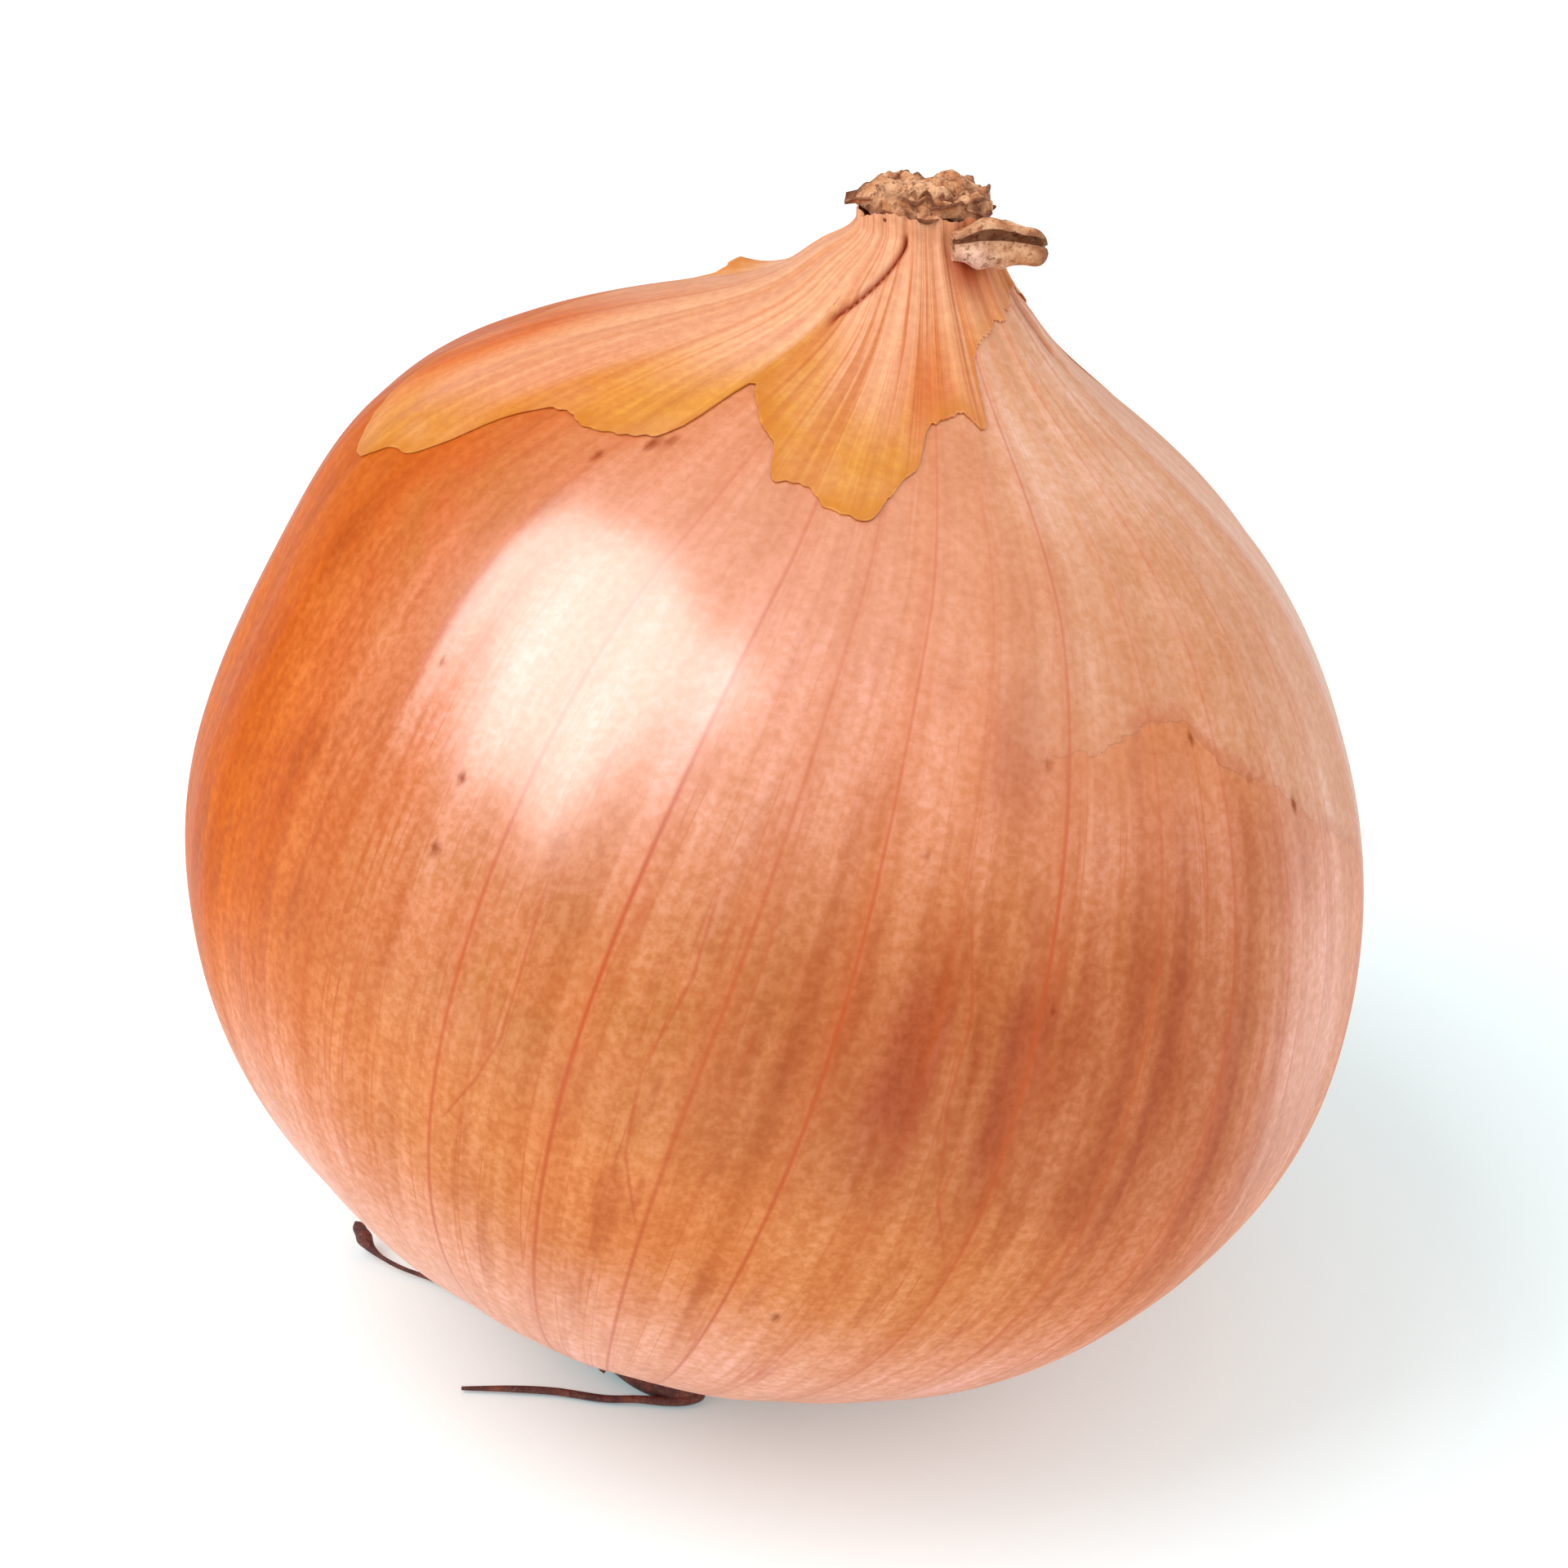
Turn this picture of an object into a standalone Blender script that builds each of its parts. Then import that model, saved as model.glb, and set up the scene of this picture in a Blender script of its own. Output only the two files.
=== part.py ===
"""A brown-skinned onion at its real size, resting on the small flat spot beside its root end.

The bulb is one body, tight skin and neck together. Three things of other colours grow on it: the
dried leaf ends that close the neck, the torn remains of the outermost dry skin round the shoulders,
and the tuft of dried roots at the base. Everything is in metres. The world origin is the middle of
the flat spot, +Z points up, and the neck leans away from the spot.

Bulb, leaf ends and skin are modelled upright, in the bulb's own frame: its height runs along the
axis from root to neck with the widest circle at zero, and its azimuth is zero at the front (-Y) and
grows towards the right (+X). An empty then leans them over.
"""

import math
import random

import bmesh
import bpy
import numpy as np
from mathutils import Matrix, Vector

# Bulb, along its own axis
BULB_RADIUS = 0.0400
ROOT_END_DEPTH = 0.0342
SHOULDER_HEIGHT = 0.0400
NECK_RADIUS = 0.0051
NECK_RISE = 0.0071
NECK_RISE_FALLOFF = 0.0038
NECK_TOP = 0.0475
NECK_SHIFT = 0.0040
NECK_SHIFT_FROM = 0.0300
DIMPLE_RADIUS = 0.0056
DIMPLE_DEPTH = 0.0012
DIMPLE_STEPS = np.array([0.85, 0.65, 0.4, 0.0])

# One shoulder is fuller than the other
FULL_SIDE = math.radians(-85)
FULL_SHARE = 0.13
FULL_HEIGHT = 0.0297
FULL_REACH = 0.0120

# Low ribs from root to neck: how many go round, how high each set stands and where it starts
RIB_SETS = ((5, 0.00020, 0.4), (11, 0.00022, 1.9), (17, 0.00016, 0.7), (23, 0.00010, 2.6))

# The lie of the bulb: first nodded forward, then leant to the right, then the whole tipped back
NOD = math.radians(18.7)
LEAN_RIGHT = math.radians(17.8)
TIP_BACK = math.radians(-33.0)
REST_SPOT_DEPTH = 0.0007

# Torn remains of the outermost skin
TORN_GAP = 0.0003
TORN_THICKNESS = 0.0006
TORN_TOP = 0.0440
# Lobes of its torn edge: azimuth and half width in degrees, height of the lowest point
TORN_LOBES = (
    (-88, 17, 0.0310),
    (-66, 18, 0.0252),
    (-48, 12, 0.0318),
    (-19, 13, 0.0335),
    (-8, 15, 0.0328),
    (24, 7, 0.0380),
    (146, 20, 0.0290),
    (176, 28, 0.0322),
    (208, 26, 0.0275),
)
TORN_EDGE_BETWEEN = 0.0375
TORN_EDGE_RISE = 0.0046
TORN_EDGE_RISE_AT = math.radians(68)
# Where the torn edge curls up into a small flake
FLAKE_AZIMUTH = math.radians(-114)
FLAKE_HALF_WIDTH = math.radians(8)
FLAKE_LIFT = 0.0009
TORN_COLUMNS = 84
TORN_ROWS = 6

# Dried leaf ends on the neck
PLUG_GAP = 0.0003
PLUG_RADIUS = 0.0048
PLUG_THICKNESS = 0.0016
PLUG_RIDGE = 0.0005
LEAF_THICKNESS = 0.0007
LEAF_ENDS = 7
LEAF_WIDTH = 0.0034
LEAF_SCATTER = 0.0003
# The long curled leaf end: where it starts outside the neck, and the way it points
CURL_AZIMUTH = math.radians(36)
CURL_OUT = 0.0062
CURL_HEADING = math.radians(112)
CURL_LENGTH = 0.0063
CURL_RADIUS = 0.0013
CURL_RISE = 0.0010
CURL_TILT = math.radians(6)
CURL_STEM_WIDTH = 0.0030
CURL_STEM_OVERLAP = 0.0006
CURL_STEM_BEND = 0.06

# Root tuft, in world axes from the middle of the root end
PLATE_RADIUS = 0.0044
PLATE_THICKNESS = 0.0013
PLATE_GAP = 0.0003
STRAND_START_REACH = 0.0026
STRAND_RADIUS = 0.0003
STRAND_HEIGHT = 0.00045
STRAND_LENGTH = 0.0150
STRAND_COUNT = 16
STRAND_HEADING = math.radians(128)
STRAND_SPREAD = math.radians(26)
STRAND_SWAY = 0.0016
STRAND_FALL = 0.0013
STUB_LENGTH = 0.0030
STUB_COUNT = 6
STUB_HEADING = math.radians(225)
STUB_SPREAD = math.radians(65)
# The two long roots that lie out on the surface: place, then radius there
HOOKED_ROOT = (
    (-0.0136, -0.0100, 0.0016, 0.00045),
    (-0.0159, -0.0120, 0.0012, 0.00045),
    (-0.0136, -0.0132, 0.0012, 0.00060),
    (-0.0114, -0.0142, 0.0011, 0.00085),
    (-0.0095, -0.0148, 0.0010, 0.00070),
    (-0.0082, -0.0152, 0.0008, 0.00050),
    (-0.0088, -0.0160, 0.0006, 0.00040),
    (-0.0112, -0.0162, 0.0005, 0.00035),
    (-0.0155, -0.0160, 0.0005, 0.00032),
    (-0.0188, -0.0153, 0.0005, 0.00036),
    (-0.0247, -0.0150, 0.0005, 0.00025),
)
TIPPED_ROOT = (
    (-0.0140, -0.0096, 0.0016, 0.00045),
    (-0.0180, -0.0084, 0.0008, 0.00035),
    (-0.0229, -0.0056, 0.0005, 0.00030),
    (-0.0271, -0.0027, 0.0006, 0.00030),
    (-0.0301, -0.0008, 0.0008, 0.00030),
    (-0.0316, 0.0007, 0.0010, 0.00045),
    (-0.0321, 0.0020, 0.0013, 0.00075),
    (-0.0328, 0.0031, 0.0016, 0.00060),
    (-0.0333, 0.0040, 0.0018, 0.00025),
)
SEED = 11

SEGMENTS = 72
RINGS = 38


def clear_scene():
    for thing in list(bpy.data.objects):
        bpy.data.objects.remove(thing, do_unlink=True)


def new_collection(name, hidden=False):
    group = bpy.data.collections.new(name)
    group.hide_render = hidden
    bpy.context.scene.collection.children.link(group)
    return group


def finish(name, colour, roughness):
    """A plain material: base colour in linear RGB, roughness, no metal."""
    material = bpy.data.materials.new(name)
    material.use_nodes = True
    shader = material.node_tree.nodes["Principled BSDF"]
    shader.inputs["Base Color"].default_value = (*colour, 1.0)
    shader.inputs["Roughness"].default_value = roughness
    shader.inputs["Metallic"].default_value = 0.0
    return material


def add_object(name, mesh, group, material=None, parent=None):
    thing = bpy.data.objects.new(name, mesh)
    group.objects.link(thing)
    if material:
        mesh.materials.append(material)
    if parent:
        thing.parent = parent
    return thing


def mesh_from(shape, name):
    """Turns a bmesh into a smooth-shaded mesh and frees it."""
    bmesh.ops.recalc_face_normals(shape, faces=shape.faces)
    mesh = bpy.data.meshes.new(name)
    shape.to_mesh(mesh)
    shape.free()
    mesh.shade_smooth()
    mesh.set_sharp_from_angle(angle=math.radians(40))
    return mesh


def smooth_step(value):
    value = np.clip(value, 0.0, 1.0)
    return value * value * (3.0 - 2.0 * value)


def angle_between(azimuth, middle):
    """How far azimuth lies past middle, the short way round."""
    return np.angle(np.exp(1j * (azimuth - middle)))


def upper_height(radius):
    """Height of the shoulders: an ellipse that rises exponentially into the neck."""
    ellipse = SHOULDER_HEIGHT * np.sqrt(np.clip(1.0 - (radius / BULB_RADIUS) ** 2, 0.0, 1.0))
    return ellipse + NECK_RISE * np.exp(-(radius - NECK_RADIUS) / NECK_RISE_FALLOFF)


def lower_height(radius):
    """Height of the lower half: an ellipse with a shallow dimple round the root plate."""
    ellipse = -ROOT_END_DEPTH * np.sqrt(np.clip(1.0 - (radius / BULB_RADIUS) ** 2, 0.0, 1.0))
    return ellipse + DIMPLE_DEPTH * smooth_step(1.5 * (1.0 - radius / DIMPLE_RADIUS))


def bulb_profile(rings):
    """Radius and height of each ring, from the middle of the neck's top to the middle of the base."""
    turn = np.linspace(0.0, math.pi / 2, rings // 2)
    shoulder = NECK_RADIUS + (BULB_RADIUS - NECK_RADIUS) * np.sin(turn) ** 1.3
    neck = np.linspace(NECK_TOP, upper_height(NECK_RADIUS), 3)[:-1]
    round_it = np.linspace(0.0, math.acos(DIMPLE_RADIUS / BULB_RADIUS), rings // 2)
    below = np.concatenate((BULB_RADIUS * np.cos(round_it[1:]), DIMPLE_RADIUS * DIMPLE_STEPS))
    radius = np.concatenate(([0.0, 0.7 * NECK_RADIUS], np.full(2, NECK_RADIUS), shoulder, below))
    height = np.concatenate(([NECK_TOP, NECK_TOP], neck, upper_height(shoulder), lower_height(below)))
    return radius, height


def grow(azimuth, radius, height):
    """Points of the living shape: fuller on one side, ribbed, and with the neck drawn to the left."""
    fullness = FULL_SHARE * np.exp(-(((height - FULL_HEIGHT) / FULL_REACH) ** 2))
    fullness = fullness * np.clip(np.cos(azimuth - FULL_SIDE), 0.0, 1.0) ** 2
    ribs = sum(high * np.cos(count * azimuth + start) for count, high, start in RIB_SETS)
    ribs = ribs * smooth_step(radius / (0.6 * BULB_RADIUS)) ** 2
    radius = radius * (1.0 + fullness) + ribs
    drawn = np.clip((height - NECK_SHIFT_FROM) / (NECK_TOP - NECK_SHIFT_FROM), 0.0, 1.2) ** 1.5
    x = radius * np.sin(azimuth) - NECK_SHIFT * drawn
    y = -radius * np.cos(azimuth)
    return np.stack(np.broadcast_arrays(x, y, height), axis=-1)


def bulb_matrix():
    """Leans the upright bulb over and stands its rest spot on the world's origin."""
    nod = Matrix.Rotation(NOD, 4, "X")
    lean = Matrix.Rotation(LEAN_RIGHT, 4, "Y")
    tip = Matrix.Rotation(TIP_BACK, 4, "X")
    turned = tip @ lean @ nod
    axis = turned.to_3x3() @ Vector((0.0, 0.0, 1.0))
    # Lowest point of the leaning lower half, an ellipsoid of revolution about that axis
    spread = BULB_RADIUS**2
    shrink = BULB_RADIUS**2 - ROOT_END_DEPTH**2
    depth = math.sqrt(spread - shrink * axis.z**2)
    lowest = (axis * (shrink * axis.z) - Vector((0.0, 0.0, spread))) / depth
    centre = -lowest - Vector((0.0, 0.0, REST_SPOT_DEPTH))
    return Matrix.Translation(centre) @ turned


def rest_plane(lie):
    """A point and the downward normal of the floor, in the upright bulb's own frame."""
    back = lie.inverted()
    return back @ Vector((0.0, 0.0, 0.0)), back.to_3x3() @ Vector((0.0, 0.0, -1.0))


def spun_profile(radius, height):
    """A closed turned body: the profile spun once round the upright axis."""
    shape = bmesh.new()
    points = [shape.verts.new((r, 0.0, h)) for r, h in zip(radius, height)]
    edges = [shape.edges.new(pair) for pair in zip(points, points[1:])]
    bmesh.ops.spin(
        shape,
        geom=points + edges,
        cent=(0.0, 0.0, 0.0),
        axis=(0.0, 0.0, 1.0),
        angle=2.0 * math.pi,
        steps=SEGMENTS,
        use_duplicate=False,
    )
    bmesh.ops.remove_doubles(shape, verts=shape.verts, dist=1e-6)
    return shape


def move_points(shape, rule):
    """Moves every point of an upright round shape by rule(azimuth, radius, height)."""
    flat = np.array([vert.co[:] for vert in shape.verts])
    azimuth = np.arctan2(flat[:, 0], -flat[:, 1])
    radius = np.hypot(flat[:, 0], flat[:, 1])
    for vert, place in zip(shape.verts, rule(azimuth, radius, flat[:, 2])):
        vert.co = place


def make_bulb(group, lie_empty, lie):
    """The whole bulb, cut flat where it rests."""
    shape = spun_profile(*bulb_profile(RINGS))
    move_points(shape, grow)
    point, normal = rest_plane(lie)
    cut = bmesh.ops.bisect_plane(
        shape,
        geom=shape.verts[:] + shape.edges[:] + shape.faces[:],
        dist=1e-7,
        plane_co=point,
        plane_no=normal,
        clear_outer=True,
    )
    rim = [part for part in cut["geom_cut"] if isinstance(part, bmesh.types.BMEdge)]
    bmesh.ops.contextual_create(shape, geom=rim)
    skin = finish("tight_brown_skin", (0.70, 0.26, 0.10), 0.38)
    return add_object("bulb", mesh_from(shape, "bulb"), group, skin, lie_empty)


def torn_edge(azimuth):
    """Height of the torn edge: a line, higher on one side, with rounded lobes that hang below it."""
    rise = np.clip(np.cos(azimuth - TORN_EDGE_RISE_AT), 0.0, 1.0)
    line = TORN_EDGE_BETWEEN + TORN_EDGE_RISE * rise
    edge = line
    for middle, half_width, lowest in TORN_LOBES:
        away = angle_between(azimuth, math.radians(middle)) / math.radians(half_width)
        hang = np.sqrt(np.clip(1.0 - away**2, 0.0, 1.0))
        edge = np.minimum(edge, line - (line - lowest) * hang)
    return edge


def radius_at(height):
    """Radius of the upper half at a height, read back from the shoulder curve."""
    radius = np.linspace(BULB_RADIUS, NECK_RADIUS, 400)
    return np.interp(height, upper_height(radius), radius)


def make_torn_skin(group, lie_empty):
    """A closed collar that lies over the shoulders, its lower edge torn into lobes."""
    azimuth = np.linspace(0.0, 2.0 * math.pi, TORN_COLUMNS, endpoint=False)
    down = np.linspace(0.0, 1.0, TORN_ROWS)[:, None]
    height = TORN_TOP + (torn_edge(azimuth) - TORN_TOP) * down
    surface = grow(azimuth, radius_at(height), height)
    flake = smooth_step(1.0 - np.abs(angle_between(azimuth, FLAKE_AZIMUTH)) / FLAKE_HALF_WIDTH)
    lift = TORN_GAP + TORN_THICKNESS / 2 + FLAKE_LIFT * flake * down**3
    lifted = surface + outward(azimuth, height) * lift[..., None]
    shape = bmesh.new()
    grid = [[shape.verts.new(place) for place in row] for row in lifted]
    for upper, lower in zip(grid, grid[1:]):
        for k in range(TORN_COLUMNS):
            after = (k + 1) % TORN_COLUMNS
            shape.faces.new((upper[k], lower[k], lower[after], upper[after]))
    paper = finish("golden_torn_skin", (0.78, 0.38, 0.11), 0.45)
    skin = add_object("torn_skin", mesh_from(shape, "torn_skin"), group, paper, lie_empty)
    wall = skin.modifiers.new("paper", "SOLIDIFY")
    wall.thickness = TORN_THICKNESS
    wall.offset = 0.0
    return skin


def outward(azimuth, height):
    """Unit directions square to the surface of the upper half, by finite differences."""
    step_angle = 1e-3
    step_height = 1e-5

    def surface(turn, level):
        return grow(turn, radius_at(level), level)

    round_it = surface(azimuth + step_angle, height) - surface(azimuth - step_angle, height)
    up_it = surface(azimuth, height + step_height) - surface(azimuth, height - step_height)
    normal = np.cross(round_it, up_it)
    return normal / np.linalg.norm(normal, axis=-1, keepdims=True)


def neck_middle(height):
    """Middle of the bent neck at a height, in the upright frame."""
    place = grow(np.array([0.0]), np.array([0.0]), np.array([height]))[0]
    return Vector(place)


def leaf_end(azimuth, length, width, curl, sharp):
    """An open strip that leaves the neck's middle, bends over and narrows to its tip."""
    shape = bmesh.new()
    along_count, across_count = 7, 5
    grid = []
    for along in np.linspace(0.0, 1.0, along_count):
        turn = curl * along
        reach = length * (math.sin(turn) / curl)
        rise = length * ((math.cos(turn) - 1.0) / curl)
        half = 0.5 * width * (1.0 - sharp * along**2)
        row = []
        for across in np.linspace(-1.0, 1.0, across_count):
            cup = 0.35 * half * across**2
            row.append(shape.verts.new((half * across, -reach, rise + cup)))
        grid.append(row)
    for near, far in zip(grid, grid[1:]):
        for k in range(across_count - 1):
            shape.faces.new((near[k], far[k], far[k + 1], near[k + 1]))
    bmesh.ops.rotate(shape, verts=shape.verts, matrix=Matrix.Rotation(azimuth, 3, "Z"))
    return shape


def solid_strip(shape, thickness, name, group):
    """Gives an open strip its thickness, as a mesh object in a group of helpers."""
    bmesh.ops.recalc_face_normals(shape, faces=shape.faces)
    mesh = bpy.data.meshes.new(name)
    shape.to_mesh(mesh)
    shape.free()
    strip = bpy.data.objects.new(name, mesh)
    group.objects.link(strip)
    wall = strip.modifiers.new("wall", "SOLIDIFY")
    wall.thickness = thickness
    wall.offset = 0.0
    return strip


def make_plug(group):
    """The shrivelled end of the neck: a low round cushion with ring-shaped ridges on top."""
    shape = bmesh.new()
    bmesh.ops.create_uvsphere(shape, u_segments=32, v_segments=14, radius=1.0)
    for vert in shape.verts:
        x, y, z = vert.co
        azimuth = math.atan2(x, -y)
        out = math.hypot(x, y)
        ragged = 1.0 + 0.07 * math.cos(5 * azimuth + 0.6) + 0.05 * math.cos(8 * azimuth)
        ridge = PLUG_RIDGE * math.cos(11.0 * out + 1.5 * math.cos(2 * azimuth)) if z > 0 else 0.0
        height = 0.5 * PLUG_THICKNESS * z + ridge * (1.0 - out**4)
        vert.co = (PLUG_RADIUS * ragged * x, PLUG_RADIUS * ragged * y, height)
    base = neck_middle(NECK_TOP + PLUG_GAP + PLUG_THICKNESS / 2)
    bmesh.ops.translate(shape, verts=shape.verts, vec=base)
    return add_object("dry_neck", mesh_from(shape, "dry_neck"), group)


def curled_leaf():
    """The leaf end that sticks out sideways: a trough that opens to the front and closes at its tip."""
    shape = bmesh.new()
    grid = []
    for along in np.linspace(0.0, 1.0, 9):
        swell = CURL_RADIUS * (0.55 + 0.45 * math.sin(math.pi * along)) * (1.0 - 0.55 * along**4)
        row = []
        for turn in np.radians(np.linspace(40, 320, 9)):
            ahead = -swell * 0.8 * math.cos(turn)
            over = swell * math.sin(turn)
            row.append(shape.verts.new((CURL_LENGTH * along, ahead, over)))
        grid.append(row)
    for near, far in zip(grid, grid[1:]):
        for k in range(len(near) - 1):
            shape.faces.new((near[k], far[k], far[k + 1], near[k + 1]))
    heading = Matrix.Rotation(CURL_HEADING - math.pi / 2, 3, "Z")
    tilt = Matrix.Rotation(CURL_TILT, 3, "Y")
    bmesh.ops.rotate(shape, verts=shape.verts, matrix=heading @ tilt)
    return shape


def keep_outer_shell(mesh):
    """Fills the hollows that a union sealed and drops loose scraps: only the largest shell stays."""
    shape = bmesh.new()
    shape.from_mesh(mesh)
    waiting = set(shape.faces)
    shells = []
    while waiting:
        front = [waiting.pop()]
        shell = list(front)
        while front:
            near = {face for edge in front.pop().edges for face in edge.link_faces} & waiting
            waiting -= near
            front.extend(near)
            shell.extend(near)
        shells.append(shell)
    shells.sort(key=len)
    spare = [face for shell in shells[:-1] for face in shell]
    bmesh.ops.delete(shape, geom=spare, context="FACES")
    shape.to_mesh(mesh)
    shape.free()


def union_all(target, group):
    """One Boolean union of a target with a group of helpers, applied; the helpers are then removed."""
    join = target.modifiers.new("join", "BOOLEAN")
    join.operation = "UNION"
    join.operand_type = "COLLECTION"
    join.collection = group
    join.solver = "MANIFOLD"
    graph = bpy.context.evaluated_depsgraph_get()
    joined = bpy.data.meshes.new_from_object(target.evaluated_get(graph))
    target.modifiers.clear()
    keep_outer_shell(joined)
    target.data = joined
    for helper in list(group.objects):
        bpy.data.objects.remove(helper, do_unlink=True)
    bpy.data.collections.remove(group)


def make_dry_neck(group, lie_empty):
    """The dried leaf ends: the plug, a ring of short bent leaf ends, and one long curled one."""
    plug = make_plug(group)
    helpers = new_collection("neck_helpers", hidden=True)
    chance = random.Random(SEED)
    seat = neck_middle(NECK_TOP + PLUG_GAP + 0.75 * PLUG_THICKNESS)
    for k in range(LEAF_ENDS):
        azimuth = CURL_AZIMUTH + 2.0 * math.pi * (k + 0.3 * chance.random()) / LEAF_ENDS
        shape = leaf_end(
            azimuth,
            length=PLUG_RADIUS * chance.uniform(1.0, 1.2),
            width=LEAF_WIDTH * chance.uniform(0.8, 1.2),
            curl=chance.uniform(0.08, 0.16),
            sharp=chance.uniform(0.3, 0.6),
        )
        lift = Vector((0.0, 0.0, LEAF_SCATTER * chance.random()))
        bmesh.ops.translate(shape, verts=shape.verts, vec=seat + lift)
        solid_strip(shape, LEAF_THICKNESS, f"leaf_end_{k}", helpers)
    stem_length = CURL_OUT + CURL_STEM_OVERLAP
    stem = leaf_end(CURL_AZIMUTH, stem_length, CURL_STEM_WIDTH, CURL_STEM_BEND, sharp=0.2)
    bmesh.ops.translate(stem, verts=stem.verts, vec=seat)
    solid_strip(stem, LEAF_THICKNESS, "curl_stem", helpers)
    curl = curled_leaf()
    out = Vector((math.sin(CURL_AZIMUTH), -math.cos(CURL_AZIMUTH), 0.0)) * CURL_OUT
    start = neck_middle(NECK_TOP) + out + Vector((0.0, 0.0, CURL_RISE))
    bmesh.ops.translate(curl, verts=curl.verts, vec=start)
    solid_strip(curl, LEAF_THICKNESS, "side_curl", helpers)
    union_all(plug, helpers)
    plug.data.materials.clear()
    plug.data.materials.append(finish("dry_leaf_ends", (0.48, 0.26, 0.12), 0.75))
    plug.parent = lie_empty
    return plug


def strand_path(start, heading, length, chance):
    """Points of a root: down from the plate, then out over the floor with a slow sway."""
    points = []
    phase = chance.uniform(0.0, 2.0 * math.pi)
    for along in np.linspace(0.0, 1.0, 8):
        out = length * along
        side = STRAND_SWAY * along * math.sin(2.5 * along + phase)
        height = STRAND_HEIGHT + (start.z - STRAND_HEIGHT) * math.exp(-out / STRAND_FALL)
        x = start.x + out * math.cos(heading) - side * math.sin(heading)
        y = start.y + out * math.sin(heading) + side * math.cos(heading)
        points.append((x, y, height))
    return points


def strand(name, points, radii, group):
    """A few-sided tapered tube along the points, made a closed mesh."""
    curve = bpy.data.curves.new(name, "CURVE")
    curve.dimensions = "3D"
    curve.bevel_depth = 1.0
    curve.bevel_resolution = 0
    curve.use_fill_caps = True
    line = curve.splines.new("POLY")
    line.points.add(len(points) - 1)
    for point, place, radius in zip(line.points, points, radii):
        point.co = (*place, 1.0)
        point.radius = radius
    guide = bpy.data.objects.new(name, curve)
    group.objects.link(guide)
    graph = bpy.context.evaluated_depsgraph_get()
    mesh = bpy.data.meshes.new_from_object(guide.evaluated_get(graph))
    bpy.data.objects.remove(guide, do_unlink=True)
    shape = bmesh.new()
    shape.from_mesh(mesh)
    bmesh.ops.remove_doubles(shape, verts=shape.verts, dist=1e-7)
    bmesh.ops.recalc_face_normals(shape, faces=shape.faces)
    shape.to_mesh(mesh)
    shape.free()
    tube = bpy.data.objects.new(name, mesh)
    group.objects.link(tube)
    return tube


def make_root_tuft(group, lie):
    """The root plate with its dried strands, most of them pressed flat under the bulb."""
    shape = bmesh.new()
    bmesh.ops.create_uvsphere(shape, u_segments=24, v_segments=10, radius=1.0)
    bmesh.ops.scale(shape, verts=shape.verts, vec=(PLATE_RADIUS, PLATE_RADIUS, PLATE_THICKNESS / 2))
    middle = -ROOT_END_DEPTH + DIMPLE_DEPTH - PLATE_GAP - PLATE_THICKNESS / 2
    bmesh.ops.translate(shape, verts=shape.verts, vec=(0.0, 0.0, middle))
    bmesh.ops.transform(shape, verts=shape.verts, matrix=lie)
    tuft = add_object("root_tuft", mesh_from(shape, "root_tuft"), group)
    helpers = new_collection("root_helpers", hidden=True)
    chance = random.Random(SEED)
    headings = STRAND_HEADING + STRAND_SPREAD * np.linspace(-1.0, 1.0, STRAND_COUNT)
    lengths = [STRAND_LENGTH * chance.uniform(0.45, 1.0) for _ in headings]
    stubs = STUB_HEADING + STUB_SPREAD * np.linspace(-1.0, 1.0, STUB_COUNT)
    roots = list(zip(headings, lengths)) + [(heading, STUB_LENGTH) for heading in stubs]
    for k, (heading, length) in enumerate(roots):
        off = STRAND_START_REACH * math.sqrt(chance.random())
        around = chance.uniform(0.0, 2.0 * math.pi)
        across, ahead = off * math.cos(around), off * math.sin(around)
        start = lie @ Vector((across, ahead, middle - STRAND_RADIUS))
        points = strand_path(start, heading, length, chance)
        radii = np.linspace(1.5, 1.0, len(points)) * STRAND_RADIUS
        strand(f"strand_{k}", points, radii, helpers)
    for name, route in (("hooked_root", HOOKED_ROOT), ("tipped_root", TIPPED_ROOT)):
        strand(name, [point[:3] for point in route], [point[3] for point in route], helpers)
    union_all(tuft, helpers)
    tuft.data.materials.clear()
    tuft.data.materials.append(finish("dried_roots", (0.10, 0.025, 0.018), 0.7))
    return tuft


def main():
    clear_scene()
    onion = new_collection("onion")
    lie = bulb_matrix()
    lie_empty = bpy.data.objects.new("bulb_axis", None)
    lie_empty.matrix_world = lie
    onion.objects.link(lie_empty)
    make_bulb(onion, lie_empty, lie)
    make_torn_skin(onion, lie_empty)
    make_dry_neck(onion, lie_empty)
    make_root_tuft(onion, lie)


main()
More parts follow.
